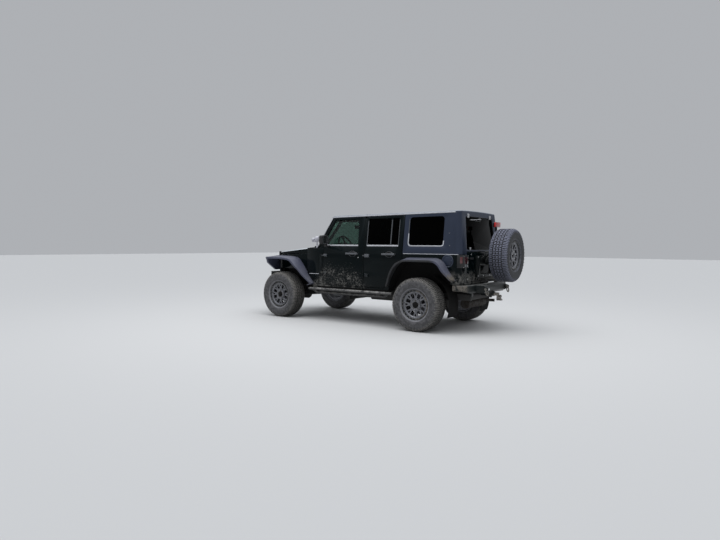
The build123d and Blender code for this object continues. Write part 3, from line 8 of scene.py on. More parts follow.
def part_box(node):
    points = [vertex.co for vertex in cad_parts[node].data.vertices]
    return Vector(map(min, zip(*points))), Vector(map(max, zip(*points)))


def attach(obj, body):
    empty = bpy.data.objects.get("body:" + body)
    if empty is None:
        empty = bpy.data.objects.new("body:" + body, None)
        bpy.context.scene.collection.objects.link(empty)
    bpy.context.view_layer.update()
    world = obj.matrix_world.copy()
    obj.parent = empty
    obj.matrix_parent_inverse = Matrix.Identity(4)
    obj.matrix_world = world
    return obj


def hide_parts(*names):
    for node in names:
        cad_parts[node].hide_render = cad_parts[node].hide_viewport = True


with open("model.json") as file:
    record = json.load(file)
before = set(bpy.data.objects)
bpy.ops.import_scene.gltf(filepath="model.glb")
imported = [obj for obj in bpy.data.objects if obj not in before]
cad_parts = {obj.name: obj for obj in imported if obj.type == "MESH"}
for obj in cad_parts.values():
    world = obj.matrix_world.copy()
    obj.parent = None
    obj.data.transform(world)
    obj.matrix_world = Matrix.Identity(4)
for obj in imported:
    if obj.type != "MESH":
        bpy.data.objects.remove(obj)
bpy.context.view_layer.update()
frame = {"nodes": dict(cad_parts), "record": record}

# The finish and the small parts of a lifted off-road 4x4. Sizes are in metres.
# +X is forward, +Y is the vehicle's left, +Z is up, and the ground is at z = 0.

NODES = frame["nodes"]
BODY_OF = {node: body for body, nodes in frame["record"]["behaviour"]["bodies"].items() for node in nodes}
SLOT_OF = {part["node"]: part["material_slot"] for part in frame["record"]["subparts"]}


def middle(node):
    low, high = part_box(node)
    return (low + high) / 2


# Places of the main parts, read from the frame, and sizes of the body that the small parts follow
REAR_AXLE = middle("tyre_rear_left")
FRONT_AXLE = middle("tyre_front_left")
SPARE = middle("spare_tyre")
REAR_X = REAR_AXLE.x
TYRE_RADIUS = REAR_AXLE.z
TYRE_HALF = (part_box("tyre_rear_left")[1].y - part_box("tyre_rear_left")[0].y) / 2
RIM_HALF = 0.120
RIM_RADIUS = 0.237
BEAD_RADIUS = 0.216
BELT_Z = 1.221
BELT_HALF = 0.790
ROOF_HALF = 0.703
ROOF_Z = 1.880
SILL_HALF = 0.782
SILL_Z = 0.585
WAIST_HALF = 0.803
WAIST_Z = 0.900
WINDOW_SILL_Z = 1.359

LEFT, RIGHT = 1, -1
SIDES = {"left": LEFT, "right": RIGHT}


def at(x, y, z):
    """A place measured ahead of the rear axle."""
    return Vector((REAR_X + x, y, z))


def circle_through(a, b, c):
    """Centre and radius of the circle through three (y, z) points."""
    (ax, ay), (bx, by), (cx, cy) = a, b, c
    d = 2 * (ax * (by - cy) + bx * (cy - ay) + cx * (ay - by))
    sa, sb, sc = ax * ax + ay * ay, bx * bx + by * by, cx * cx + cy * cy
    x = (sa * (by - cy) + sb * (cy - ay) + sc * (ay - by)) / d
    y = (sa * (cx - bx) + sb * (ax - cx) + sc * (bx - ax)) / d
    return x, y, math.hypot(ax - x, ay - y)


SIDE_ARC = circle_through((SILL_HALF, SILL_Z), (WAIST_HALF, WAIST_Z), (BELT_HALF, BELT_Z))
COWL_X = 2.011
COWL_HALF = 0.804
COWL_TAPER = 0.1449


def side_y(z):
    """Half width of the body at a height."""
    if z > BELT_Z:
        return BELT_HALF + (z - BELT_Z) * (ROOF_HALF - BELT_HALF) / (ROOF_Z - BELT_Z)
    y, middle_z, radius = SIDE_ARC
    return y + math.sqrt(radius * radius - (z - middle_z) ** 2)


def skin_y(x, z):
    """Half width of the body at a place ahead of the rear axle. It narrows ahead of the doors."""
    return min(side_y(z), COWL_HALF - max(0.0, x - COWL_X) * COWL_TAPER)


class Finish:
    """A material, with short ways to add nodes to it."""

    def __init__(self, name):
        self.material = bpy.data.materials.new(name)
        self.material.use_nodes = True
        self.tree = self.material.node_tree
        self.shader = self.tree.nodes["Principled BSDF"]
        self.place = self.tree.nodes.new("ShaderNodeTexCoord").outputs["Object"]

    def add(self, kind, *values, **settings):
        node = self.tree.nodes.new("ShaderNode" + kind)
        for name, value in settings.items():
            setattr(node, name, value)
        for socket, value in zip(node.inputs, values):
            self.feed(socket, value)
        return node

    def feed(self, socket, value):
        if value is None:
            return
        if isinstance(value, bpy.types.NodeSocket):
            self.tree.links.new(value, socket)
        else:
            socket.default_value = value

    def set(self, **values):
        for name, value in values.items():
            self.feed(self.shader.inputs[name.replace("_", " ")], value)

    def math(self, operation, a, b=0.0, c=0.0, clamp=False):
        return self.add("Math", a, b, c, operation=operation, use_clamp=clamp).outputs[0]

    def noise(self, scale, detail=4.0, roughness=0.6, place=None):
        node = self.add("TexNoise")
        self.feed(node.inputs["Vector"], place or self.place)
        for name, value in (("Scale", scale), ("Detail", detail), ("Roughness", roughness)):
            node.inputs[name].default_value = value
        return node.outputs["Fac"]

    def cells(self, scale, place=None):
        node = self.add("TexVoronoi", feature="F1")
        self.feed(node.inputs["Vector"], place or self.place)
        node.inputs["Scale"].default_value = scale
        return node.outputs

    def bands(self, scale, direction, distortion=0.0):
        node = self.add("TexWave", self.place, wave_type="BANDS", bands_direction=direction)
        node.inputs["Scale"].default_value = scale
        node.inputs["Distortion"].default_value = distortion
        return node.outputs["Fac"]

    def ramp(self, value, low, high, to_low=0.0, to_high=1.0):
        node = self.add("MapRange", interpolation_type="SMOOTHSTEP")
        for socket, given in zip(node.inputs, (value, low, high, to_low, to_high)):
            self.feed(socket, given)
        return node.outputs[0]

    def blend(self, factor, a, b):
        """Colour a where the factor is 0 and colour b where it is 1."""
        node = self.add("Mix", data_type="RGBA")
        self.feed(node.inputs[0], factor)
        self.feed(node.inputs[6], colour(a))
        self.feed(node.inputs[7], colour(b))
        return node.outputs[2]

    def level(self, factor, a, b):
        node = self.add("Mix", data_type="FLOAT")
        for socket, value in zip(node.inputs[:4], (factor, None, a, b)):
            self.feed(socket, value)
        return node.outputs[0]

    def parts(self):
        return self.add("SeparateXYZ", self.place).outputs

    def up(self, low=0.15, high=0.9, to_low=0.0, to_high=1.0):
        """1 where a face looks up and 0 where it stands or looks down, or a ramp between other limits."""
        normal = self.add("NewGeometry").outputs["Normal"]
        return self.ramp(self.add("SeparateXYZ", normal).outputs[2], low, high, to_low, to_high)

    def bump(self, height, distance, strength=1.0):
        node = self.add("Bump")
        node.inputs["Strength"].default_value = strength
        node.inputs["Distance"].default_value = distance
        self.feed(node.inputs["Height"], height)
        self.set(Normal=node.outputs[0])


def colour(value):
    """A colour with its fourth number. A socket stays as it is."""
    return (*value, 1.0) if isinstance(value, tuple) and len(value) == 3 else value


DUST = (0.110, 0.100, 0.088)
MUD = (0.098, 0.088, 0.076)
FINISHES = {}


def finish(name):
    """Files a material under its name, made by the function that follows."""
    def keep(make):
        made = Finish(name)
        make(made)
        FINISHES[name] = made.material
        return make
    return keep


def dust_and_sheen_over(f, base, rough, amount, dust=DUST, height=0.9, reach=0.75, on_top=0.35):
    """Road dust that is thick low down and on faces that look up, over a base colour. A large share on top
    also stands for a painted highlight of the sky.
    """
    low = f.ramp(f.parts()[2], height - reach, height, 1.0, 0.0)
    patches = f.noise(3.1, 6.0, 0.62)
    grain = f.noise(70.0, 3.0, 0.7)
    film = f.math("MULTIPLY", f.ramp(patches, 0.30, 0.75), f.math("MULTIPLY_ADD", grain, 0.9, 0.5))
    cover = f.math("MULTIPLY", f.math("ADD", low, f.math("MULTIPLY", f.up(), on_top)), film)
    cover = f.math("MULTIPLY", cover, amount, clamp=True)
    f.set(Base_Color=f.blend(cover, base, dust), Roughness=f.level(cover, rough, 0.85))


def lay_over(f, cover, tone, rough):
    """Lays a second finish over what the material has so far."""
    below = f.shader.inputs["Base Color"].links[0].from_socket
    shine = f.shader.inputs["Roughness"].links[0].from_socket
    f.set(Base_Color=f.blend(cover, below, tone), Roughness=f.level(cover, shine, rough))


def specks(f, scale, density, size, where):
    """Round spots of many sizes. More of them show where the density is higher."""
    cells = f.cells(scale, where)
    chance, spread, _ = f.add("SeparateColor", cells["Color"]).outputs
    reach = f.math("MULTIPLY", f.math("MULTIPLY_ADD", spread, 0.75, 0.25), size)
    spot = f.ramp(cells["Distance"], f.math("MULTIPLY", reach, 0.75), reach, 1.0, 0.0)
    return f.math("MULTIPLY", f.math("LESS_THAN", chance, density), spot)


# The mud fan starts at this place above the sill and widens backwards by this slope
FAN_FOOT_X = 2.33
FAN_FOOT_Z = 0.66
FAN_SLOPE = 1.15


def splatter(f):
    """Mud thrown back by the front wheels: a fan of drops behind the flare, thick near the sill."""
    x, _, z = f.parts()
    ahead = f.math("SUBTRACT", x, REAR_X)
    edge = f.math("MULTIPLY_ADD", ahead, -FAN_SLOPE, FAN_FOOT_Z + FAN_FOOT_X * FAN_SLOPE)
    front = f.ramp(f.math("SUBTRACT", z, edge), -0.10, 0.02, 1.0, 0.0)
    along = f.math("MULTIPLY", f.ramp(ahead, 0.88, 1.46), front)
    top = f.math("MULTIPLY_ADD", f.ramp(ahead, 0.95, 1.45), 0.20, 0.89)
    height = f.ramp(z, f.math("SUBTRACT", top, 0.40), top, 1.0, 0.0)
    patches = f.ramp(f.noise(4.2, 7.0, 0.75), 0.40, 0.60, 0.15, 1.0)
    density = f.math("MULTIPLY", f.math("MULTIPLY", along, height), patches)
    streak = f.add("Mapping", f.place)
    streak.inputs["Rotation"].default_value = (0.0, math.radians(35.0), 0.0)
    streak.inputs["Scale"].default_value = (0.62, 0.8, 1.0)
    where = streak.outputs[0]
    big = specks(f, 40.0, f.math("MULTIPLY", density, 0.22), 0.42, where)
    middling = specks(f, 80.0, f.math("MULTIPLY", density, 0.50), 0.52, where)
    small = specks(f, 170.0, density, 0.60, where)
    blots = f.math("MULTIPLY_ADD", density, 0.19, f.noise(34.0, 8.0, 0.80, where))
    crust = f.math("MULTIPLY", f.ramp(blots, 0.59, 0.66), f.ramp(density, 0.03, 0.30))
    drops = f.math("MAXIMUM", f.math("MAXIMUM", big, middling), small)
    return f.math("MAXIMUM", drops, crust, clamp=True)


def corner_mud(f):
    """Mud that the rear wheels leave on the lower rear corners."""
    x, _, z = f.parts()
    behind = f.ramp(x, REAR_X - 0.56, REAR_X - 0.44, 1.0, 0.0)
    low = f.ramp(z, 0.84, 1.00, 1.0, 0.0)
    patches = f.ramp(f.noise(13.0, 8.0, 0.75), 0.42, 0.56)
    return f.math("MULTIPLY", f.math("MULTIPLY", behind, low), patches)


@finish("body_paint")
def body_paint(f):
    dust_and_sheen_over(f, (0.0012, 0.0036, 0.0042), 0.13, 0.08, (0.075, 0.072, 0.066), height=0.95, on_top=0.0)
    # Up-facing faces are blended towards a pale blue grey: a painted sheen of the sky.
    lay_over(f, f.math("MULTIPLY", f.up(), 0.50), (0.120, 0.138, 0.150), 0.30)
    mud = f.math("MAXIMUM", splatter(f), corner_mud(f), clamp=True)
    lay_over(f, mud, f.blend(f.noise(30.0, 4.0), (0.052, 0.050, 0.046), (0.190, 0.186, 0.174)), 0.92)
    f.set(Specular_IOR_Level=0.12, Coat_Weight=f.up(), Coat_Roughness=0.04)
    peel = f.math("MULTIPLY", f.noise(260.0, 2.0), 0.03)
    f.bump(f.math("MULTIPLY_ADD", mud, 0.7, peel), 0.0012, 0.6)


@finish("hardtop_grey")
def hardtop_grey(f):
    base = f.blend(f.noise(2.2, 5.0), (0.012, 0.019, 0.038), (0.019, 0.028, 0.053))
    dust_and_sheen_over(f, base, 0.40, 0.08, height=1.25, on_top=0.0)
    # Up-facing faces turn pale blue grey: partly dust, partly a painted sheen of the sky on the roof's
    # shoulder.
    lay_over(f, f.math("MULTIPLY", f.up(), 0.85), (0.270, 0.295, 0.335), 0.45)
    f.set(Specular_IOR_Level=0.36, Coat_Weight=f.math("MULTIPLY", f.up(), 0.5), Coat_Roughness=0.15)
    f.bump(f.noise(620.0, 3.0, 0.6), 0.0005, 0.5)


@finish("flare_grey")
def flare_grey(f):
    base = f.blend(f.noise(5.0, 6.0, 0.7), (0.038, 0.042, 0.070), (0.072, 0.078, 0.120))
    # The pale bluish cover, strongest on faces that look up, is partly dust and partly a painted highlight of
    # the sky.
    dust_and_sheen_over(f, base, 0.52, 0.42, (0.150, 0.152, 0.168), height=1.1, reach=0.7, on_top=1.1)
    x, _, z = f.parts()
    # Upright faces of the rear flare are painted near-black here: painted shade.
    begins = f.ramp(x, REAR_X - 0.38, REAR_X - 0.22)
    ends = f.ramp(x, REAR_X + 0.9, REAR_X + 1.1, 1.0, 0.0)
    stands = f.math("SUBTRACT", 1.0, f.math("MULTIPLY", f.up(), 0.8))
    patches = f.ramp(f.noise(11.0, 7.0, 0.7), 0.25, 0.55, 0.6, 0.92)
    painted_shade = f.math("MULTIPLY", f.math("MULTIPLY", f.math("MULTIPLY", begins, ends), stands), patches)
    lay_over(f, painted_shade, (0.015, 0.015, 0.013), 0.8)
    behind = f.ramp(x, REAR_X - 0.52, REAR_X - 0.40, 1.0, 0.0)
    low = f.ramp(z, 0.86, 0.98, 1.0, 0.0)
    drops = f.ramp(f.noise(18.0, 8.0, 0.75), 0.40, 0.54)
    mud = f.math("MULTIPLY", f.math("MULTIPLY", behind, low), drops)
    lay_over(f, mud, (0.110, 0.096, 0.078), 0.92)
    f.bump(f.noise(420.0, 4.0, 0.7), 0.0010, 0.7)


@finish("bumper_black")
def bumper_black(f):
    base = f.blend(f.noise(9.0, 5.0, 0.7), (0.006, 0.008, 0.008), (0.014, 0.017, 0.017))
    # The pale grey cover on faces that look up is partly dust and partly a painted highlight along the top.
    dust_and_sheen_over(f, base, 0.30, 0.12, (0.200, 0.200, 0.195), height=0.66, reach=0.20, on_top=7.0)
    f.set(Specular_IOR_Level=0.20)
    x, y, _ = f.parts()
    end = f.ramp(f.math("ABSOLUTE", y), 0.66, 0.76)
    patches = f.ramp(f.noise(16.0, 8.0, 0.76), 0.40, 0.58)
    rear = f.math("LESS_THAN", x, REAR_X)
    mud = f.math("MULTIPLY", f.math("MULTIPLY", end, patches), rear)
    lay_over(f, mud, f.blend(f.noise(50.0, 4.0), MUD, (0.190, 0.172, 0.150)), 0.93)
    f.bump(f.math("MULTIPLY_ADD", mud, 1.5, f.noise(330.0, 4.0, 0.7)), 0.0010, 0.6)


SLIDER_MIDDLE_Z = 0.530


@finish("muddy_tube")
def muddy_tube(f):
    base = f.blend(f.noise(11.0, 6.0, 0.7), (0.012, 0.012, 0.013), (0.030, 0.030, 0.031))
    patches = f.ramp(f.noise(12.0, 8.0, 0.78), 0.40, 0.62)
    cover = f.math("MULTIPLY", patches, f.up(-0.35, 0.55, 0.12, 1.0))
    # Paler on the upper tube than on the lower one.
    high = f.ramp(f.parts()[2], SLIDER_MIDDLE_Z - 0.02, SLIDER_MIDDLE_Z + 0.02)
    tone = f.blend(f.noise(50.0, 4.0), (0.110, 0.104, 0.094), (0.240, 0.230, 0.215))
    tone = f.blend(high, tone, f.blend(f.noise(30.0, 4.0), (0.230, 0.222, 0.208), (0.460, 0.450, 0.430)))
    f.set(Base_Color=f.blend(cover, base, tone), Roughness=f.level(cover, 0.42, 0.93))
    f.bump(f.math("MULTIPLY", cover, f.noise(90.0, 6.0, 0.8)), 0.004, 0.8)


@finish("under_iron")
def under_iron(f):
    # Near-black, darker than black paint: partly the iron's own colour, partly painted shade under the body.
    base = f.blend(f.noise(14.0, 6.0, 0.7), (0.005, 0.005, 0.005), (0.014, 0.013, 0.012))
    dust_and_sheen_over(f, base, 0.62, 0.30, (0.056, 0.051, 0.044), height=0.9, reach=0.6)
    f.bump(f.noise(160.0, 6.0, 0.75), 0.0018, 0.7)


@finish("inner_black")
def inner_black(f):
    base = f.blend(f.noise(9.0, 6.0, 0.7), (0.0035, 0.0035, 0.0038), (0.010, 0.0095, 0.0090))
    f.set(Base_Color=base, Roughness=0.9, Specular_IOR_Level=0.2)
    f.bump(f.noise(140.0, 5.0, 0.75), 0.0012, 0.6)


@finish("bare_steel")
def bare_steel(f):
    base = f.blend(f.noise(22.0, 6.0, 0.7), (0.30, 0.29, 0.275), (0.17, 0.150, 0.125))
    f.set(Base_Color=base, Metallic=1.0, Roughness=f.ramp(f.noise(60.0, 4.0), 0.3, 0.7, 0.28, 0.55))
    f.bump(f.noise(300.0, 3.0), 0.0004, 0.4)


@finish("bright_metal")
def bright_metal(f):
    f.set(Base_Color=f.blend(f.noise(30.0, 3.0), (0.72, 0.72, 0.73), (0.56, 0.56, 0.56)), Metallic=1.0)
    f.set(Roughness=f.ramp(f.noise(90.0, 3.0), 0.3, 0.7, 0.14, 0.30))


@finish("pale_metal")
def pale_metal(f):
    base = f.blend(f.noise(26.0, 5.0, 0.7), (0.34, 0.345, 0.36), (0.50, 0.505, 0.52))
    f.set(Base_Color=base, Metallic=0.45, Roughness=f.ramp(f.noise(60.0, 4.0), 0.3, 0.7, 0.30, 0.48))
    f.bump(f.noise(300.0, 3.0), 0.0004, 0.4)


@finish("mirror_face")
def mirror_face(f):
    f.set(Base_Color=f.blend(f.noise(4.0), (0.80, 0.82, 0.84), (0.72, 0.74, 0.77)), Metallic=1.0)
    f.set(Roughness=f.ramp(f.noise(7.0, 5.0), 0.4, 0.8, 0.02, 0.09))


@finish("rust_steel")
def rust_steel(f):
    # Rust spots on steel, both kept very dark: partly rust, partly painted shade under the body.
    spots = f.ramp(f.noise(26.0, 8.0, 0.75), 0.45, 0.62)
    f.set(Base_Color=f.blend(spots, (0.034, 0.031, 0.028), (0.022, 0.015, 0.011)), Metallic=0.0)
    f.set(Roughness=f.level(spots, 0.60, 0.90), Specular_IOR_Level=0.2)
    f.bump(f.noise(130.0, 6.0, 0.75), 0.0015, 0.6)


@finish("wheel_graphite")
def wheel_graphite(f):
    base = f.blend(f.noise(12.0, 4.0), (0.120, 0.122, 0.135), (0.185, 0.188, 0.205))
    cover = f.math("MULTIPLY", f.ramp(f.noise(16.0, 7.0, 0.72), 0.40, 0.74), 0.30)
    f.set(Base_Color=f.blend(cover, base, (0.120, 0.114, 0.106)), Metallic=0.55)
    f.set(Roughness=f.level(cover, 0.34, 0.80), Coat_Weight=0.10)
    f.bump(f.noise(380.0, 3.0), 0.0004, 0.5)


def rubber(f, base, dust, cover_low, cover_high, strength):
    """Tyre rubber under a mottled film of dust. Faces that look down get less of it: partly how dust settles,
    partly painted shade on the lower side.
    """
    below = f.blend(f.noise(9.0, 4.0), base, tuple(1.7 * c for c in base))
    cover = f.math("MULTIPLY", f.ramp(f.noise(24.0, 8.0, 0.78), cover_low, cover_high), strength)
    # Less of the pale cover on faces that look down: painted shade on the lower side, as well as dust
    # settling on top.
    cover = f.math("MULTIPLY", cover, f.up(-0.8, 0.3, 0.45, 1.0))
    tone = f.blend(f.noise(55.0, 5.0, 0.7), tuple(0.7 * c for c in dust), tuple(1.5 * c for c in dust))
    f.set(Base_Color=f.blend(cover, below, tone), Roughness=f.level(cover, 0.60, 0.95))
    f.bump(f.noise(240.0, 5.0, 0.7), 0.0012, 0.6)


TYRE_FINISHES = {
    # finish: rubber, dust, noise where the dust begins and is full, share covered
    "tyre_wall": ((0.018, 0.018, 0.019), (0.128, 0.125, 0.131), 0.34, 0.66, 0.82),
    "tyre_guard": ((0.030, 0.030, 0.033), (0.230, 0.230, 0.245), 0.20, 0.60, 0.84),
    "tyre_blocks": ((0.020, 0.020, 0.019), (0.180, 0.172, 0.160), 0.30, 0.56, 0.92),
    # The groove finishes of both tyres are much darker than the blocks: painted shade in the grooves.
    "tyre_groove_shade": ((0.005, 0.005, 0.005), (0.040, 0.037, 0.033), 0.42, 0.75, 0.60),
    "spare_wall": ((0.010, 0.010, 0.011), (0.075, 0.080, 0.096), 0.42, 0.76, 0.70),
    "spare_guard": ((0.016, 0.016, 0.019), (0.150, 0.156, 0.180), 0.25, 0.70, 0.75),
    "spare_blocks": ((0.030, 0.032, 0.042), (0.190, 0.200, 0.262), 0.20, 0.60, 0.90),
    "spare_groove_shade": ((0.003, 0.003, 0.003), (0.016, 0.016, 0.016), 0.50, 0.90, 0.50),
}
for name, values in TYRE_FINISHES.items():
    finish(name)(lambda f, values=values: rubber(f, *values))


@finish("seal_rubber")
def seal_rubber(f):
    f.set(Base_Color=f.blend(f.noise(30.0), (0.006, 0.006, 0.007), (0.014, 0.014, 0.015)), Roughness=0.48)
    f.bump(f.noise(300.0), 0.0005, 0.4)


def smooth_trim(f, mottle, dark, light, shine, rough, pits, depth):
    """A smooth coated or moulded surface with a slight mottle and fine pits."""
    f.set(Base_Color=f.blend(f.noise(*mottle), dark, light))
    f.set(Roughness=f.ramp(f.noise(shine), 0.3, 0.7, *rough))
    f.bump(f.noise(pits), depth, 0.4)


TRIM_FINISHES = {
    # finish: noise of the mottle, dark, light, scale and range of the roughness, scale and depth of the pits
    # A pale strip whose colour is a painted highlight of the sky along sills, roof, pillar and seam edges.
    "window_seal": (
        (8.0, 5.0), (0.360, 0.370, 0.400), (0.560, 0.570, 0.600), 40.0, (0.28, 0.45), 300.0, 0.0005,
    ),
    # A grey strip whose colour is a dimmer painted highlight along window posts, the quarter window and
    # mirror rims.
    "dim_seal": (
        (8.0, 5.0), (0.050, 0.054, 0.060), (0.095, 0.100, 0.110), 40.0, (0.34, 0.50), 300.0, 0.0005,
    ),
    # The hood's rounded long edges: a pale painted sheen of the sky.
    "painted_edge_sheen": (
        (7.0, 6.0, 0.7), (0.300, 0.325, 0.345), (0.520, 0.550, 0.575), 40.0, (0.22, 0.36), 300.0, 0.0004,
    ),
    "handle_grey": (
        (26.0, 5.0), (0.062, 0.068, 0.078), (0.120, 0.126, 0.138), 60.0, (0.24, 0.42), 420.0, 0.0004,
    ),
}
for name, values in TRIM_FINISHES.items():
    finish(name)(lambda f, values=values: smooth_trim(f, *values))


@finish("trim_plastic")
def trim_plastic(f):
    base = f.blend(f.noise(6.0, 4.0), (0.009, 0.009, 0.010), (0.019, 0.019, 0.020))
    f.set(Base_Color=base, Roughness=f.ramp(f.noise(35.0), 0.3, 0.7, 0.44, 0.60), Specular_IOR_Level=0.4)
    f.bump(f.cells(650.0)["Distance"], 0.0006, 0.5)


@finish("dash_trim")
def dash_trim(f):
    base = f.blend(f.noise(6.0, 4.0), (0.070, 0.074, 0.080), (0.100, 0.104, 0.110))
    f.set(Base_Color=base, Roughness=f.ramp(f.noise(35.0), 0.3, 0.7, 0.40, 0.55))
    f.bump(f.cells(500.0)["Distance"], 0.0007, 0.5)


@finish("seat_cloth")
def seat_cloth(f):
    weave = f.bands(160.0, "DIAGONAL", 1.5)
    base = f.blend(weave, (0.028, 0.028, 0.031), (0.060, 0.060, 0.064))
    base = f.blend(f.ramp(f.noise(5.0, 5.0), 0.35, 0.8), base, (0.078, 0.075, 0.072))
    f.set(Base_Color=base, Roughness=0.92, Sheen_Weight=0.35, Sheen_Roughness=0.5)
    f.bump(f.math("ADD", weave, f.noise(500.0)), 0.0008, 0.6)


@finish("carpet")
def carpet(f):
    pile = f.noise(120.0, 6.0, 0.8)
    f.set(Base_Color=f.blend(pile, (0.006, 0.006, 0.007), (0.024, 0.023, 0.022)), Roughness=0.98)
    f.bump(f.noise(420.0, 5.0, 0.8), 0.003, 0.9)


def glass(f, tint, rough, coat):
    """Glass with a tint and slight smears."""
    smear = f.ramp(f.noise(6.0, 6.0, 0.7), 0.45, 0.85, rough, rough + 0.05)
    f.set(Base_Color=tint, Roughness=smear, IOR=1.05, Specular_IOR_Level=0.5)
    f.set(Transmission_Weight=1.0, Coat_Weight=coat, Coat_Roughness=0.01)


@finish("clear_glass")
def clear_glass(f):
    glass(f, (0.22, 0.32, 0.28, 1.0), 0.0, 0.5)


@finish("tinted_glass")
def tinted_glass(f):
    glass(f, (0.0010, 0.0012, 0.00125, 1.0), 0.0, 0.03)


@finish("lamp_glass")
def lamp_glass(f):
    glass(f, (0.93, 0.94, 0.95, 1.0), 0.02, 1.0)


def fluted(f, dark, light, direction, scale, rough):
    """A moulded lens with fine flutes across it."""
    flutes = f.bands(scale, direction)
    f.set(Base_Color=f.blend(flutes, dark, light), Roughness=rough)
    f.set(Coat_Weight=0.8, Coat_Roughness=0.04)
    f.bump(flutes, 0.0012, 0.4)


LENSES = {
    # finish: dark, light, direction of the flutes, scale, roughness
    "smoked_red": ((0.050, 0.007, 0.009), (0.110, 0.014, 0.016), "Z", 26.0, 0.12),
    "dark_red": ((0.016, 0.002, 0.003), (0.040, 0.005, 0.006), "Z", 26.0, 0.10),
    "smoked_white": ((0.060, 0.062, 0.066), (0.130, 0.134, 0.142), "Z", 34.0, 0.10),
    "bright_red": ((0.26, 0.006, 0.008), (0.50, 0.016, 0.018), "Y", 40.0, 0.16),
    "amber_lens": ((0.55, 0.19, 0.02), (0.78, 0.34, 0.06), "Z", 40.0, 0.14),
    "white_lens": ((0.62, 0.63, 0.64), (0.84, 0.85, 0.86), "Z", 34.0, 0.10),
    "pod_white": ((0.34, 0.34, 0.38), (0.50, 0.50, 0.55), "X", 30.0, 0.30),
}
for name, values in LENSES.items():
    finish(name)(lambda f, values=values: fluted(f, *values))


FINISH_OF_SLOT = {
    "body_paint": "body_paint", "hardtop_grey": "hardtop_grey", "flare_grey": "flare_grey",
    "bumper_black": "bumper_black", "chassis_black": "under_iron",
    "axle_iron": "under_iron", "engine_iron": "under_iron", "spring_steel": "under_iron",
    "exhaust_steel": "rust_steel", "tank_plastic": "under_iron", "wheel_graphite": "wheel_graphite",
    "trim_plastic": "trim_plastic", "lamp_glass": "white_lens", "smoked_red": "trim_plastic",
    "clear_glass": "clear_glass", "tinted_glass": "tinted_glass",
}


def keep_piece(name, bm, body, material, smooth=35.0, replaces=()):
    """Turns a finished bmesh into a piece that rides on its body."""
    mesh = bpy.data.meshes.new(name)
    bmesh.ops.recalc_face_normals(bm, faces=bm.faces)
    bm.to_mesh(mesh)
    bm.free()
    piece = bpy.data.objects.new(name, mesh)
    bpy.context.scene.collection.objects.link(piece)
    for item in (material if isinstance(material, (list, tuple)) else [material]):
        mesh.materials.append(FINISHES[item])
    mesh.shade_smooth()
    mesh.set_sharp_from_angle(angle=math.radians(smooth))
    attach(piece, body)
    if replaces:
        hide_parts(*replaces)
    return piece


def bevel(bm, edges, width, segments=2):
    """Rounds edges over."""
    bmesh.ops.bevel(
        bm, geom=edges, offset=width, segments=segments, profile=0.5, affect="EDGES", material=-1,
        clamp_overlap=True,
    )


# A CAD mesh: points this close are one, faces this flat are one, and edges past this angle are softened
SAME_POINT = 0.00002
FLAT_ANGLE = math.radians(0.3)
SHARP_ANGLE = math.radians(28.0)


def sharp_edges(bm):
    return [e for e in bm.edges if len(e.link_faces) == 2 and e.calc_face_angle(0.0) > SHARP_ANGLE]


def dressed(node, width=0.003, materials=None, rule=None, shaped=None):
    """A CAD node's own shape with merged faces, soft edges and finishes that a rule gives by place."""
    bm = bmesh.new()
    bm.from_mesh(NODES[node].data)
    bmesh.ops.remove_doubles(bm, verts=bm.verts, dist=SAME_POINT)
    bmesh.ops.dissolve_limit(
        bm, angle_limit=FLAT_ANGLE, verts=bm.verts, edges=bm.edges, use_dissolve_boundaries=False,
    )
    if shaped:
        shaped(bm)
    if width:
        bevel(bm, sharp_edges(bm), width)
    if rule:
        bm.normal_update()
        for face in bm.faces:
            spot = face.calc_center_median()
            face.material_index = rule(spot.x - REAR_X, abs(spot.y), spot.z, face.normal)
    materials = materials or FINISH_OF_SLOT[SLOT_OF[node]]
    return keep_piece(node + "_shape", bm, BODY_OF[node], materials, replaces=[node])


def join(bm, part):
    """Adds a finished part to a bmesh."""
    mesh = bpy.data.meshes.new("part")
    part.to_mesh(mesh)
    part.free()
    bm.from_mesh(mesh)
    bpy.data.meshes.remove(mesh)


def place(bm, matrix):
    bmesh.ops.transform(bm, matrix=matrix, verts=bm.verts)


def prism(bm, outline, depth, matrix):
    """A flat outline (u, v) given a depth along w, then placed by a matrix."""
    part = bmesh.new()
    face = part.faces.new([part.verts.new((u, v, 0)) for u, v in outline])
    moved = bmesh.ops.extrude_face_region(part, geom=[face])
    top = [v for v in moved["geom"] if isinstance(v, bmesh.types.BMVert)]
    bmesh.ops.translate(part, vec=(0, 0, depth), verts=top)
    place(part, matrix)
    join(bm, part)


def cuboid(bm, low, high, width=0.0, segments=2, matrix=Matrix()):
    """A block between two corners with soft edges."""
    part = bmesh.new()
    bmesh.ops.create_cube(part, size=1.0)
    low, high = Vector(low), Vector(high)
    place(part, Matrix.Translation((low + high) / 2) @ Matrix.Diagonal((*(high - low), 1)))
    if width:
        bevel(part, part.edges[:], width, segments)
    place(part, matrix)
    join(bm, part)


def lathe(bm, points, matrix, steps=32):
    """A turned part: an open profile of (radius, along) about Y, placed by a matrix."""
    part = bmesh.new()
    verts = [part.verts.new((radius, along, 0)) for radius, along in points]
    edges = [part.edges.new(pair) for pair in zip(verts, verts[1:])]
    bmesh.ops.spin(
        part, geom=verts + edges, angle=math.tau, steps=steps, axis=(0, 1, 0), cent=(0, 0, 0), use_merge=True,
    )
    bmesh.ops.remove_doubles(part, verts=part.verts, dist=0.00001)
    bmesh.ops.recalc_face_normals(part, faces=part.faces)
    place(part, matrix)
    join(bm, part)


def turned(direction, spot):
    """A matrix that lays the Y axis along a direction and moves the origin to a spot."""
    return Matrix.Translation(spot) @ Vector(direction).to_track_quat("Y", "Z").to_matrix().to_4x4()


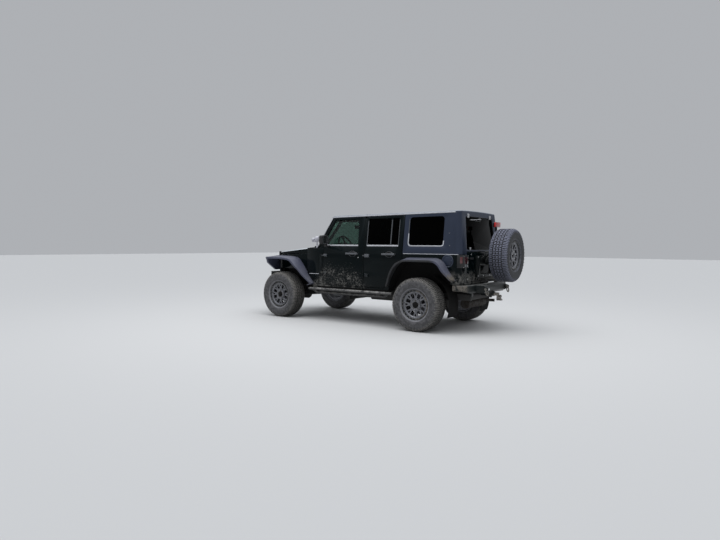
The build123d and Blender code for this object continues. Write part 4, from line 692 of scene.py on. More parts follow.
def bolt(bm, spot, direction, size=0.008, height=0.006):
    """A hexagon head on a washer."""
    matrix = turned(direction, spot)
    lathe(bm, [(0, 0.0015), (size * 1.5, 0.0015), (size * 1.5, 0)], matrix, 12)
    lathe(bm, [(0, height), (size * 0.8, height), (size, height * 0.8), (size, 0.001)], matrix, 6)


def disc(bm, spot, direction, radius, height, steps=24):
    """A low round boss with a soft rim."""
    rim = min(height, radius) * 0.4
    lathe(bm, [(0, height), (radius - rim, height), (radius, height - rim), (radius, 0)],
          turned(direction, spot), steps)


def rounded_line(points, radius, closed=False, steps=6):
    """The points with each corner replaced by a short curve."""
    count = len(points)
    line = [] if closed else [points[0]]
    for i in range(count) if closed else range(1, count - 1):
        before, corner, after = points[i - 1], points[i], points[(i + 1) % count]
        reach = min(radius, (before - corner).length * 0.48, (after - corner).length * 0.48)
        start = corner + (before - corner).normalized() * reach
        end = corner + (after - corner).normalized() * reach
        for k in range(steps + 1):
            share = k / steps
            line.append(start.lerp(corner, share).lerp(corner.lerp(end, share), share))
    return line if closed else line + [points[-1]]


def pipe(points, radius, bends=0.06, closed=False, rings=4):
    """A bent round bar through points, as a bmesh of its own."""
    curve = bpy.data.curves.new("line", "CURVE")
    curve.dimensions = "3D"
    curve.bevel_depth = radius
    curve.bevel_resolution = rings
    curve.use_fill_caps = not closed
    points = [Vector(p) for p in points]
    line = rounded_line(points, bends, closed) if bends else points
    spline = curve.splines.new("POLY")
    spline.points.add(len(line) - 1)
    for point, spot in zip(spline.points, line):
        point.co = (*spot, 1)
    spline.use_cyclic_u = closed
    helper = bpy.data.objects.new("line", curve)
    mesh = bpy.data.meshes.new_from_object(helper)
    part = bmesh.new()
    part.from_mesh(mesh)
    bpy.data.objects.remove(helper)
    bpy.data.meshes.remove(mesh)
    bpy.data.curves.remove(curve)
    bmesh.ops.remove_doubles(part, verts=part.verts, dist=0.00005)
    return part


def on_side(way, x, z, out=0.0):
    """A place on the body's side."""
    return Vector((REAR_X + x, way * (skin_y(x, z) + out), z))


def bead(bm, way, points, width, height, bends=0.02):
    """A soft flat strip that lies on the body's side along (x, z) points."""
    part = pipe([on_side(way, x, z) for x, z in points], width / 2, bends)
    for v in part.verts:
        skin = way * skin_y(v.co.x - REAR_X, v.co.z)
        v.co.y = skin + (v.co.y - skin) * 2 * height / width
    join(bm, part)


def spin_copies(bm, count):
    """Repeats what is in a bmesh all the way round the Y axis."""
    bmesh.ops.spin(
        bm, geom=bm.verts[:] + bm.edges[:] + bm.faces[:], angle=math.tau * (count - 1) / count,
        steps=count - 1, axis=(0, 1, 0), cent=(0, 0, 0), use_duplicate=True,
    )


# Tyres: rows of tread blocks, each from y0 to y1 with a shift round the tyre
PITCHES = 46
PITCH = math.tau / PITCHES
TREAD_DEPTH = 0.0115
BLOCK_GAP = 0.0095
SIPE = 0.0016
TREAD_ROWS = [
    # y0, y1, shift, slant of the block's ends
    (-0.0205, 0.0205, 0.00, 0.30),
    (0.0300, 0.0660, 0.42, -0.34),
    (-0.0660, -0.0300, 0.58, -0.34),
    (0.0760, 0.1230, 0.10, 0.16),
    (-0.1230, -0.0760, 0.90, 0.16),
]
TYRE_WALL, TYRE_GUARD, TYRE_BLOCKS, TYRE_GROOVE_SHADE = range(4)
GUARD_RADIUS = 0.266
SHOULDER_Y = 0.100
SHOULDER_DROP = 0.42
LUG_FOOT_LONG = 0.366
LUG_FOOT_SHORT = 0.384
LUG_DEPTH = 0.008
LUG_SPAN = 0.34
TYRE_STEPS = 96


def tread_block(bm, a0, a1, y0, y1, slant, low, high):
    """One tread block between two angles, with slanting stepped ends."""
    part = bmesh.new()
    mid = (y0 + y1) / 2
    bend = slant * PITCH * 0.30
    outline = [
        (a0 - bend, y0), (a0 + bend, mid), (a0 - bend * 0.2, y1),
        (a1 - bend * 0.2, y1), (a1 + bend, mid), (a1 - bend, y0),
    ]
    face = part.faces.new([part.verts.new((a, y, low)) for a, y in outline])
    moved = bmesh.ops.extrude_face_region(part, geom=[face])
    top = [v for v in moved["geom"] if isinstance(v, bmesh.types.BMVert)]
    centre = Vector(((a0 + a1) / 2, mid, 0))
    for v in top:
        v.co = Vector((centre.x + (v.co.x - centre.x) * 0.90, centre.y + (v.co.y - centre.y) * 0.93, high))
    for face in part.faces:
        # The block's sides take the groove finish, which is painted shade.
        face.material_index = TYRE_BLOCKS if all(v in top for v in face.verts) else TYRE_GROOVE_SHADE
    bmesh.ops.recalc_face_normals(part, faces=part.faces)
    for v in part.verts:
        edge = max(0.0, abs(v.co.y) - SHOULDER_Y)
        radius = v.co.z - edge * SHOULDER_DROP
        v.co = Vector((radius * math.sin(v.co.x), v.co.y, radius * math.cos(v.co.x)))
    join(bm, part)


def shoulder_lug(bm, a0, a1, way, long):
    """A side lug that runs from the shoulder down the side wall."""
    part = bmesh.new()
    half = TYRE_HALF
    foot = LUG_FOOT_LONG if long else LUG_FOOT_SHORT
    path = [(TYRE_RADIUS - 0.010, half - 0.031), (0.404, half - 0.0125), (foot, half - 0.0020)]
    rows, inner = [], []
    for (radius, along), shrink in zip(path, (0.006, 0.006, 0.002)):
        for row, r, y in ((rows, radius, along), (inner, radius - LUG_DEPTH, along - shrink - LUG_DEPTH)):
            row.append([part.verts.new((r * math.sin(a), way * y, r * math.cos(a))) for a in (a0, a1)])
    for top, under in ((rows[0], rows[1]), (rows[1], rows[2])):
        part.faces.new((top[0], top[1], under[1], under[0])).material_index = TYRE_BLOCKS
    sides = [(rows[k][0], rows[k][1], inner[k][1], inner[k][0]) for k in (0, 2)]
    sides += [(rows[r][k], rows[r + 1][k], inner[r + 1][k], inner[r][k]) for k in range(2) for r in range(2)]
    # The lug's sides take the groove finish, which is painted shade.
    for corners in sides:
        part.faces.new(corners).material_index = TYRE_GROOVE_SHADE
    bmesh.ops.recalc_face_normals(part, faces=part.faces)
    join(bm, part)


def tyre_mesh():
    """A whole tyre about the Y axis, at the origin."""
    bm = bmesh.new()
    floor = TYRE_RADIUS - TREAD_DEPTH
    bead_y = RIM_HALF - 0.0083
    half = TYRE_HALF
    right = [
        # radius and distance from the middle, from the bead up to the tread
        (BEAD_RADIUS + 0.0004, bead_y), (RIM_RADIUS + 0.001, bead_y + 0.0002),
        (RIM_RADIUS + 0.007, bead_y + 0.016), (RIM_RADIUS + 0.014, half - 0.018),
        (0.260, half - 0.009), (0.266, half - 0.0095), (0.276, half - 0.0045),
        (0.300, half - 0.0005), (0.322, half), (0.325, half - 0.002), (0.352, half - 0.0005),
        (0.356, half - 0.003), (0.382, half - 0.006), (0.398, half - 0.013), (floor - 0.012, half - 0.026),
        (floor - 0.002, half - 0.045), (floor, half - 0.075), (floor, 0),
    ]
    left = [(radius, -along) for radius, along in reversed(right[:-1])]
    lathe(bm, right + left + [(BEAD_RADIUS + 0.0004, bead_y)], Matrix(), TYRE_STEPS)
    for face in bm.faces:
        spot = face.calc_center_median()
        radius = math.hypot(spot.x, spot.z)
        if radius < GUARD_RADIUS:
            face.material_index = TYRE_GUARD
        # The tread's floor between the blocks takes the groove finish, which is painted shade.
        elif radius > floor - 0.016:
            face.material_index = TYRE_GROOVE_SHADE
    pitch = bmesh.new()
    gap = BLOCK_GAP / TYRE_RADIUS
    half_pitch = (PITCH - 2 * gap) / 2
    for y0, y1, shift, slant in TREAD_ROWS:
        for i in range(2):
            a0 = shift * PITCH + i * (half_pitch + gap)
            a1 = a0 + half_pitch - SIPE / TYRE_RADIUS
            lean = slant if i else -slant
            tread_block(pitch, a0, a1, y0, y1, lean, floor - 0.002, TYRE_RADIUS - 0.0002)
    for way in (LEFT, RIGHT):
        for i in range(2):
            a0 = (0.08 + i * 0.5) * PITCH
            shoulder_lug(pitch, a0, a0 + PITCH * LUG_SPAN, way, long=bool(i))
    spin_copies(pitch, PITCHES)
    join(bm, pitch)
    return bm


def make_tyres():
    """The same tyre at four corners and, turned to face backwards, as the spare."""
    whole = tyre_mesh()
    mesh = bpy.data.meshes.new("tyre")
    whole.to_mesh(mesh)
    whole.free()
    for node in [f"tyre_{end}_{side}" for end in ("front", "rear") for side in SIDES] + ["spare_tyre"]:
        bm = bmesh.new()
        bm.from_mesh(mesh)
        spare = node == "spare_tyre"
        turn = Matrix.Rotation(math.radians(90 if spare else 0), 4, "Z")
        place(bm, Matrix.Translation(middle(node)) @ turn)
        finishes = [name for name in TYRE_FINISHES if name.startswith("spare" if spare else "tyre")]
        keep_piece(node + "_tread", bm, BODY_OF[node], finishes, replaces=[node])
    bpy.data.meshes.remove(mesh)


# Wheel faces, as (radius, distance outwards from the middle of the rim)
RING_BOLTS = 24
RING_BOLT_CIRCLE = 0.2238
RING_FACE = 0.1248
LUG_NUTS = 5
LUG_CIRCLE = 0.0635
LUG_FACE = 0.0945
RIM_RING = [
    (0.2125, 0.1135), (0.2125, 0.1225), (0.2150, 0.1250), (0.2325, 0.1250), (0.2365, 0.1215),
    (0.2365, 0.1165),
]
HUB_RING = [
    (0.0940, 0.0835), (0.0925, 0.1020), (0.0900, 0.1045), (0.0865, 0.1045), (0.0820, 0.0995),
    (0.0720, 0.0975), (0.0710, 0.0965),
]
DOMED_CAP = [
    (0.0, 0.1110), (0.024, 0.1105), (0.028, 0.1080), (0.042, 0.1065), (0.0500, 0.101), (0.0525, 0.0950),
]
FLAT_CAP = [(0, 0.098), (0.030, 0.098), (0.034, 0.094), (0.034, 0.088)]
VALVE = [(0.006, 0.0), (0.006, 0.03), (0.004, 0.034), (0.0, 0.034)]
VALVE_FOOT = (0.196, 0.094, 0.02)


def wheel_details(name, matrix, body, capped):
    """The outer ring with its bolts, the ring round the hub, the centre cap, the nuts and the valve."""
    def keep(part, bm, material):
        keep_piece(f"{name}_{part}", bm, body, material)

    ring = bmesh.new()
    lathe(ring, RIM_RING, matrix, 72)
    keep("ring", ring, "bumper_black")
    hub = bmesh.new()
    lathe(hub, HUB_RING, matrix, 48)
    keep("hub_ring", hub, "wheel_graphite")
    bolts = bmesh.new()
    for i in range(RING_BOLTS):
        angle = math.tau * (i + 0.5) / RING_BOLTS
        spot = Vector((RING_BOLT_CIRCLE * math.cos(angle), RING_FACE, RING_BOLT_CIRCLE * math.sin(angle)))
        bolt(bolts, spot, (0, 1, 0), 0.0048, 0.0045)
    for i in range(LUG_NUTS):
        angle = math.tau * (i + 0.25) / LUG_NUTS
        spot = Vector((LUG_CIRCLE * math.cos(angle), LUG_FACE, LUG_CIRCLE * math.sin(angle)))
        bolt(bolts, spot, (0, 1, 0), 0.0090, 0.0120)
    place(bolts, matrix)
    keep("bolts", bolts, "bare_steel")
    cap = bmesh.new()
    lathe(cap, DOMED_CAP if capped else FLAT_CAP, matrix, 40)
    lathe(cap, VALVE, matrix @ Matrix.Translation(VALVE_FOOT), 12)
    keep("cap", cap, "inner_black")


RIM_EDGE = 0.0022


def make_wheels():
    """The wheels' own shapes with their rings, bolts, nuts and caps."""
    for end in ("front", "rear"):
        for side, way in SIDES.items():
            node = f"wheel_{end}_{side}"
            dressed(node, RIM_EDGE)
            turn = Matrix.Rotation(0 if way == LEFT else math.pi, 4, "Z")
            wheel_details(node, Matrix.Translation(middle(f"tyre_{end}_{side}")) @ turn, BODY_OF[node], True)
    dressed("spare_wheel", RIM_EDGE)
    turn = Matrix.Rotation(math.pi / 2, 4, "Z")
    wheel_details("spare_wheel", Matrix.Translation(SPARE) @ turn, BODY_OF["spare_wheel"], False)


# Rules that give a face its finish by its place: distance ahead of the rear axle, distance from the middle,
# height and the way it looks
OUTSIDE, INSIDE, FLOOR = range(3)
GRIP = 2
GRIP_CLEARANCE = 0.012
DOOR_HANDLE_Z = 1.210


def tub_rule(x, y, z, normal):
    if x > 1.9 and z > 1.24:
        return OUTSIDE
    if z > 0.62 and y > skin_y(x, z) - 0.028:
        return OUTSIDE
    if x < -0.66 and z > 0.78 and normal.x < -0.5:
        return OUTSIDE
    return FLOOR if normal.z > 0.7 and z < 0.87 and y < 0.72 and x < 2.2 else INSIDE


def door_rule(x, y, z, normal):
    if y > skin_y(x, z) + GRIP_CLEARANCE and abs(z - DOOR_HANDLE_Z) < 0.05:
        return GRIP
    return OUTSIDE if y > skin_y(x, z) - 0.020 else INSIDE


def tailgate_rule(x, y, z, normal):
    return INSIDE if normal.x > 0.5 and x > -0.66 else OUTSIDE


def hardtop_rule(x, y, z, normal):
    under = z < ROOF_Z - 0.01 and (y < side_y(z) - 0.022 and x > -0.60)
    return INSIDE if under or normal.z < -0.6 else OUTSIDE


def lamp_rule(x, y, z, normal):
    """0 on the pods, 1 on the head lamps and 2 on the marker lamps."""
    if z > 1.3:
        return 0
    return 1 if y < 0.56 else 2


def hood_rule(x, y, z, normal):
    """The rounded long edges get a pale finish: a painted sheen of the sky."""
    return 1 if y > 0.5 and 0.2 < normal.z < 0.97 and abs(normal.y) > 0.2 else 0


def pane_rule(x, y, z, normal):
    return 0 if x > 1.5 else 1


FLARE_BEND_X = 2.675
FLARE_BEND_REACH = 0.150
FLARE_BEND_DROP = 0.026
FLARE_SLICES = 14


def round_flares(bm):
    """Cuts the front flares into slices at their bend and lowers these into a round corner."""
    for i in range(FLARE_SLICES + 1):
        x = REAR_X + FLARE_BEND_X + FLARE_BEND_REACH * 2.2 * (i / FLARE_SLICES * 2 - 1)
        whole = bm.verts[:] + bm.edges[:] + bm.faces[:]
        bmesh.ops.bisect_plane(bm, geom=whole, plane_co=(x, 0, 0), plane_no=(1, 0, 0))
    for v in bm.verts:
        off = (v.co.x - REAR_X - FLARE_BEND_X) / FLARE_BEND_REACH
        if v.co.x > 0 and v.co.z > 0.9:
            v.co.z -= FLARE_BEND_DROP * math.exp(-off * off)


DRESSED_PANELS = {
    # node: width of its soft edges, its finishes where the slot's isn't enough, and the rule
    "tub": (0.0025, ["body_paint", "inner_black", "carpet"], tub_rule),
    "hood": (0.014, ["body_paint", "painted_edge_sheen"], hood_rule),
    "hardtop": (0.004, ["hardtop_grey", "inner_black"], hardtop_rule),
    "roof_panels": (0.004, ["hardtop_grey", "inner_black"], hardtop_rule),
    "windscreen_frame": (0.005,),
    "tailgate": (0.003, ["body_paint", "trim_plastic"], tailgate_rule), "tailgate_handle": (0.003,),
    "grille_panel": (0.003,), "fenders": (0.002,),
    "front_bumper": (0.003,), "rear_bumper": (0.003,), "rock_sliders": (0.0, ["muddy_tube"]),
    "frame": (0.003,), "spare_carrier": (0.003,), "front_axle": (0.003,), "rear_axle": (0.003,),
    "knuckle_left": (0.002,), "knuckle_right": (0.002,), "tie_rod": (0.0,), "engine_block": (0.01,),
    "driveline": (0.004,), "exhaust": (0.0,), "fuel_tank": (0.0,), "dashboard": (0.006, ["dash_trim"]),
    "steering_wheel": (0.001,), "roll_cage": (0.0,), "mirror_left": (0.004,), "mirror_right": (0.004,),
    "suspension": (0.0,), "lift_glass": (0.001, ["tinted_glass"]),
    "fixed_glass": (0.001, ["clear_glass", "tinted_glass"], pane_rule),
    "tail_lamps": (0.004,), "front_lamps": (0.003, ["pod_white", "bright_metal", "amber_lens"], lamp_rule),
}


def make_panels():
    """The CAD nodes that keep their own shape."""
    for node, look in DRESSED_PANELS.items():
        dressed(node, *look)
    dressed("fender_flares", 0.005, shaped=round_flares)
    for end in ("front", "rear"):
        for side in SIDES:
            dressed(f"door_{end}_{side}", 0.0025, ["body_paint", "trim_plastic", "handle_grey"], door_rule)
            dressed(f"door_glass_{end}_{side}", 0.0008)


SEAL_WIDTH = 0.024
SEAL_HEIGHT = 0.006
GUTTER_WIDTH = 0.019
GUTTER_DROP = 0.024
GUTTER_ENDS = (1.86, -0.556)
SEAL_DROP = 0.008
SEAL_LAP = 0.006
FRONT_PANE = (1.252, 1.950)
REAR_PANES = (0.438, 1.056)
REAR_DIVIDER_X = 0.583
PILLAR_SEAL = ((2.166, 1.325), (1.853, 1.846))
QUARTER_PANE = (-0.381, 0.242)
QUARTER_TOP_Z = 1.800
QUARTER_RADIUS = 0.055


def roof_edge_z(x):
    """Height of the roof's long edge, which falls towards the front."""
    return 1.904 - (x + 0.556) * 0.01144


def make_seals():
    """Weather strips under and beside the windows, the roof gutter, and the seam under the hardtop. Their
    pale and grey colours are painted highlights of the sky along these edges.
    """
    foot = WINDOW_SILL_Z - SEAL_DROP
    for side, way in SIDES.items():
        # The pale strips under the windows are painted highlights along the sills.
        for end, (low, high) in (("front", FRONT_PANE), ("rear", REAR_PANES)):
            strip = bmesh.new()
            bead(strip, way, [(low - SEAL_LAP, foot), (high + 0.004, foot)], SEAL_WIDTH, SEAL_HEIGHT)
            keep_piece(f"belt_strip_{end}_{side}", strip, f"door_{end}_{side}", "window_seal")
        low, high = REAR_PANES[0] - SEAL_LAP, REAR_PANES[1] + SEAL_LAP
        posts = bmesh.new()
        for x, short, width in ((high, 0.03, 0.013), (REAR_DIVIDER_X, 0.02, 0.016), (low, 0.02, 0.010)):
            bead(posts, way, [(x, WINDOW_SILL_Z), (x, QUARTER_TOP_Z - short)], width, 0.003)
        keep_piece(f"pane_strips_{side}", posts, f"door_rear_{side}", "dim_seal")
        low, high = QUARTER_PANE[0] - SEAL_LAP, QUARTER_PANE[1] + SEAL_LAP
        ring = bmesh.new()
        line = [(low, foot + 0.085), (low, foot), (high, foot), (high, foot + 0.20)]
        bead(ring, way, line, 0.017, 0.004, QUARTER_RADIUS)
        keep_piece(f"quarter_seal_{side}", ring, "chassis", "window_seal")
        upright = bmesh.new()
        bead(upright, way, [(high, foot + 0.20), (high, QUARTER_TOP_Z - 0.02)], 0.013, 0.0035)
        keep_piece(f"quarter_strip_{side}", upright, "chassis", "dim_seal")
        seam = bmesh.new()
        bead(seam, way, [(0.325, BELT_Z + 0.003), (-0.655, BELT_Z + 0.003)], 0.009, 0.003)
        keep_piece(f"hardtop_seam_{side}", seam, "chassis", "window_seal")
        # The gutter's pale bead stands for the sky's highlight along the roof edge.
        gutter = bmesh.new()
        bead(gutter, way, [(x, roof_edge_z(x) - GUTTER_DROP) for x in GUTTER_ENDS], GUTTER_WIDTH, 0.004)
        keep_piece(f"roof_gutter_{side}", gutter, "chassis", "window_seal")
        pillar = bmesh.new()
        join(pillar, pipe([at(x, way * (side_y(z) - 0.004), z) for x, z in PILLAR_SEAL], 0.0065, 0))
        keep_piece(f"pillar_seal_{side}", pillar, "chassis", "window_seal")


# Doors: place of the hinge pin and heights of its two hinges, and the ends of the handle
HINGES = {"front": (2.0085, (0.858, 1.169)), "rear": (1.1035, (0.848, 1.180))}
PILLAR_BOLTS = {"front": 0.045, "rear": 0.015}
LEAF_FACE_Y = 0.818
LEAF_SCREWS = (-0.045, -0.070)
DOOR_HANDLES = {"front": (1.235, 1.480), "rear": (0.475, 0.725)}
KEY_LOCK = (1.228, 1.145)
CUP_PROFILE = [(0.0, -0.0008), (0.046, 0.0004), (0.052, 0.0030), (0.055, 0.0030)]
CUP_RIM = [(0.055, 0.0030), (0.0575, 0.0034), (0.060, 0.0)]


def make_door_fittings():
    """Hinge bolts and screws, dished cups behind the handles, and the locks."""
    for side, way in SIDES.items():
        out = (0, way, 0)
        pillar = bmesh.new()
        for end, (pin_x, heights) in HINGES.items():
            body = f"door_{end}_{side}"
            screws = bmesh.new()
            rib_y = way * (LEAF_FACE_Y - 0.001)
            for z in heights:
                for off in LEAF_SCREWS:
                    bolt(screws, at(pin_x + off, way * LEAF_FACE_Y, z), out, 0.0065, 0.0045)
                for rib in (-0.021, 0.021):
                    cuboid(screws, at(pin_x - 0.088, rib_y - 0.0015, z + rib - 0.002),
                           at(pin_x - 0.026, rib_y + 0.0015, z + rib + 0.002), 0.0010, 1)
                bolt(pillar, at(pin_x + PILLAR_BOLTS[end], way * LEAF_FACE_Y, z), out, 0.0055, 0.0045)
            keep_piece(f"hinge_screws_{end}_{side}", screws, body, "handle_grey")
            low, high = DOOR_HANDLES[end]
            centre = on_side(way, (low + high) / 2, DOOR_HANDLE_Z - 0.004, 0.0005)
            oval = Matrix.Translation(centre) @ Matrix.Diagonal((1.35, 1, 0.82, 1))
            cup = bmesh.new()
            lathe(cup, CUP_PROFILE, turned(out, (0, 0, 0)), 40)
            place(cup, oval)
            keep_piece(f"handle_cup_{end}_{side}", cup, body, "seal_rubber")
            fittings = bmesh.new()
            lathe(fittings, CUP_RIM, turned(out, (0, 0, 0)), 40)
            place(fittings, oval)
            if end == "front":
                disc(fittings, on_side(way, *KEY_LOCK), out, 0.0125, 0.004)
            keep_piece(f"door_fittings_{end}_{side}", fittings, body, "handle_grey")
        keep_piece(f"hinge_bolts_{side}", pillar, "chassis", "bumper_black")
    lock = bmesh.new()
    disc(lock, on_side(LEFT, *KEY_LOCK, 0.0035), (0, 1, 0), 0.0085, 0.0025)
    keep_piece("key_lock", lock, "door_front_left", "bright_metal")


FUEL_DOOR = (-0.478, 1.117)
FUEL_DOOR_PROFILE = [
    (0.0, 0.0035), (0.070, 0.0030), (0.0735, 0.0010), (0.0765, 0.0010), (0.080, 0.0055), (0.096, 0.0055),
    (0.100, 0.0030), (0.101, -0.004),
]
KNOB_SPOT = (2.388, 0.690)
MARKER_STAY_Y = 0.702
LAMP_SHIELD_Y = 0.556
HOOD_LATCH_Y = 0.590


def make_body_fittings():
    """Fuel door, and on each side the strips, knobs, bolts, stays, lamp shields and hood latches."""
    door = bmesh.new()
    lathe(door, FUEL_DOOR_PROFILE, turned((0, 1, 0), on_side(LEFT, *FUEL_DOOR)), 56)
    cuboid(door, at(FUEL_DOOR[0] - 0.078, skin_y(*FUEL_DOOR), FUEL_DOOR[1] - 0.018),
           at(FUEL_DOOR[0] - 0.052, skin_y(*FUEL_DOOR) + 0.0085, FUEL_DOOR[1] + 0.018), 0.003)
    keep_piece("fuel_door", door, "chassis", "hardtop_grey")
    for side, way in SIDES.items():
        out = (0, way, 0)
        trim = bmesh.new()
        bead(trim, way, [(2.120, 0.832), (2.372, 0.828)], 0.011, 0.005)
        keep_piece(f"cowl_strip_{side}", trim, "chassis", "window_seal")
        bright = bmesh.new()
        knob_x, knob_y = KNOB_SPOT
        disc(bright, at(knob_x, way * knob_y, 1.3075), (0, 0, 1), 0.013, 0.014)
        disc(bright, at(knob_x, way * knob_y, 1.3215), (0, 0, 1), 0.008, 0.004)
        for x, z in ((2.170, 1.330), (2.140, 1.378), (1.905, 1.790)):
            bolt(bright, at(x, way * (side_y(z) - 0.004), z), out, 0.006, 0.005)
        for x, z in ((-0.481, 1.553), (-0.498, 1.358)):
            disc(bright, on_side(way, x, z), out, 0.005, 0.003)
        keep_piece(f"side_bolts_{side}", bright, "chassis", "bright_metal")
        stay = bmesh.new()
        y = way * MARKER_STAY_Y
        cuboid(stay, at(3.3125, y - 0.009, 0.874), at(3.322, y + 0.009, 0.966), 0.003)
        for z in (0.890, 0.950):
            bolt(stay, at(3.322, y, z), (1, 0, 0), 0.005, 0.004)
        keep_piece(f"marker_stay_{side}", stay, "chassis", "pale_metal")
        plate = bmesh.new()
        y = way * LAMP_SHIELD_Y
        cuboid(plate, at(3.200, y - 0.002, 0.800), at(3.330, y + 0.002, 1.110), 0.001, 1)
        keep_piece(f"lamp_shield_{side}", plate, "chassis", "inner_black")
        latch = bmesh.new()
        skin = way * HOOD_LATCH_Y
        cuboid(latch, at(3.262, skin - 0.012, 1.150), at(3.304, skin + 0.012, 1.228), 0.006)
        join(latch, pipe([at(3.283, skin + way * 0.012, 1.222), at(3.283, skin + way * 0.024, 1.205),
                          at(3.283, skin + way * 0.020, 1.165)], 0.007, 0.01))
        keep_piece(f"hood_latch_{side}", latch, "chassis", "seal_rubber")


SCREEN_FOOT = Vector((2.196, 0, 1.300))
SCREEN_HEAD = Vector((1.858, 0, 1.864))
COWL_VENT_X = (2.250, 2.395)
COWL_VENT_Z = 1.3035
COWL_SLATS = 26


def make_cowl():
    """Cowl grille and the two windscreen wipers."""
    vent = bmesh.new()
    for i in range(COWL_SLATS):
        y = -0.34 + 0.68 * (i + 0.5) / COWL_SLATS
        cuboid(vent, at(COWL_VENT_X[0], y - 0.005, COWL_VENT_Z - 0.002),
               at(COWL_VENT_X[1] - 0.02, y + 0.005, COWL_VENT_Z + 0.004), 0.0015, 1)
    keep_piece("cowl_grille", vent, "chassis", "trim_plastic")
    run = (SCREEN_HEAD - SCREEN_FOOT).normalized()
    ahead = Vector((run.z, 0, -run.x))
    wipers = bmesh.new()
    for pivot_y, tip_y in ((0.50, 0.02), (-0.06, -0.54)):
        pivot = at(SCREEN_FOOT.x + 0.030, pivot_y, 1.316)
        lathe(wipers, [(0, 0.018), (0.012, 0.018), (0.016, 0.008), (0.016, -0.006)], turned(ahead, pivot), 20)
        glass_foot = at(*(SCREEN_FOOT + run * 0.095))
        elbow = Vector((glass_foot.x, pivot_y - 0.16, glass_foot.z)) + ahead * 0.012
        tip = Vector((glass_foot.x, tip_y, glass_foot.z)) + run * 0.03 + ahead * 0.010
        join(wipers, pipe([pivot + ahead * 0.012, elbow, tip], 0.0045, 0.04))
        blade = (Vector((0, tip_y + 0.28, 0)), Vector((0, tip_y - 0.18, 0)))
        line = [Vector((glass_foot.x, 0, glass_foot.z)) + end + run * 0.012 - ahead * 0.001 for end in blade]
        join(wipers, pipe(line, 0.0052, 0))
        spine = [line[0].lerp(line[1], share) + ahead * 0.010 for share in (0.3, 0.7)]
        join(wipers, pipe(spine, 0.0040, 0))
    keep_piece("wipers", wipers, "chassis", "seal_rubber")


MIRROR_FACE = ((0.868, 1.008), (1.382, 1.516))


def make_mirror_faces():
    """Glass in both mirrors, with a grey rim round it whose colour is a painted highlight."""
    for side, way in SIDES.items():
        (y0, y1), (z0, z1) = MIRROR_FACE
        corners = [(y0, z0), (y1, z0), (y1, z1), (y0, z1)]
        pane = bmesh.new()
        outline = rounded_line([Vector((y, z, 0)) for y, z in corners], 0.025, closed=True)
        matrix = Matrix(((0, 0, 1, REAR_X + 1.8515), (way, 0, 0, 0), (0, 1, 0, 0), (0, 0, 0, 1)))
        prism(pane, [(p.x, p.y) for p in outline], 0.0025, matrix)
        keep_piece(f"mirror_glass_{side}", pane, f"door_front_{side}", "mirror_face")
        rim = bmesh.new()
        join(rim, pipe([at(1.8405, way * y, z) for y, z in corners], 0.0028, 0.025, closed=True))
        keep_piece(f"mirror_rim_{side}", rim, f"door_front_{side}", "dim_seal")


LAMP_REAR_X = -0.757
LAMP_SIDE_Y = 0.806


def make_rear_lamps():
    """Lenses and screws of the tail lamps, the third brake lamp's lens and the lamp in the bumper."""
    for side, way in SIDES.items():
        mirror = Matrix.Diagonal((1, way, 1, 1))
        red = bmesh.new()
        cuboid(red, at(LAMP_REAR_X - 0.004, 0.667, 1.086), at(LAMP_REAR_X + 0.004, 0.783, 1.192), 0.003,
               matrix=mirror)
        keep_piece(f"tail_lens_{side}", red, "chassis", "dark_red")
        marker = bmesh.new()
        cuboid(marker, at(-0.735, LAMP_SIDE_Y - 0.004, 1.090), at(-0.692, LAMP_SIDE_Y + 0.004, 1.188), 0.003,
               matrix=mirror)
        keep_piece(f"side_lens_{side}", marker, "chassis", "smoked_red")
        clear = bmesh.new()
        cuboid(clear, at(LAMP_REAR_X - 0.004, 0.675, 1.040), at(LAMP_REAR_X + 0.004, 0.775, 1.078), 0.003,
               matrix=mirror)
        keep_piece(f"reverse_lens_{side}", clear, "chassis", "smoked_white")
        bolts = bmesh.new()
        for y, z in ((0.650, 1.203), (0.797, 1.203), (0.650, 1.031), (0.797, 1.031)):
            disc(bolts, at(LAMP_REAR_X + 0.001, way * y, z), (-1, 0, 0), 0.004, 0.003, 12)
        keep_piece(f"lamp_screws_{side}", bolts, "chassis", "bright_metal")
    brake = bmesh.new()
    cuboid(brake, at(-0.9275, -0.178, 1.664), at(-0.892, 0.0125, 1.7385), 0.006)
    keep_piece("brake_lamp_lens", brake, "tailgate", "bright_red")
    dot = bmesh.new()
    disc(dot, at(-0.930, 0.259, 0.675), (-1, 0, 0), 0.017, 0.006)
    keep_piece("bumper_lamp", dot, "chassis", "white_lens")


def rear_pane(y, z, out=0.0):
    """A place on the leaning plane of the rear glass."""
    return at(-0.687 + (z - BELT_Z) * 0.1047 - out, y, z)


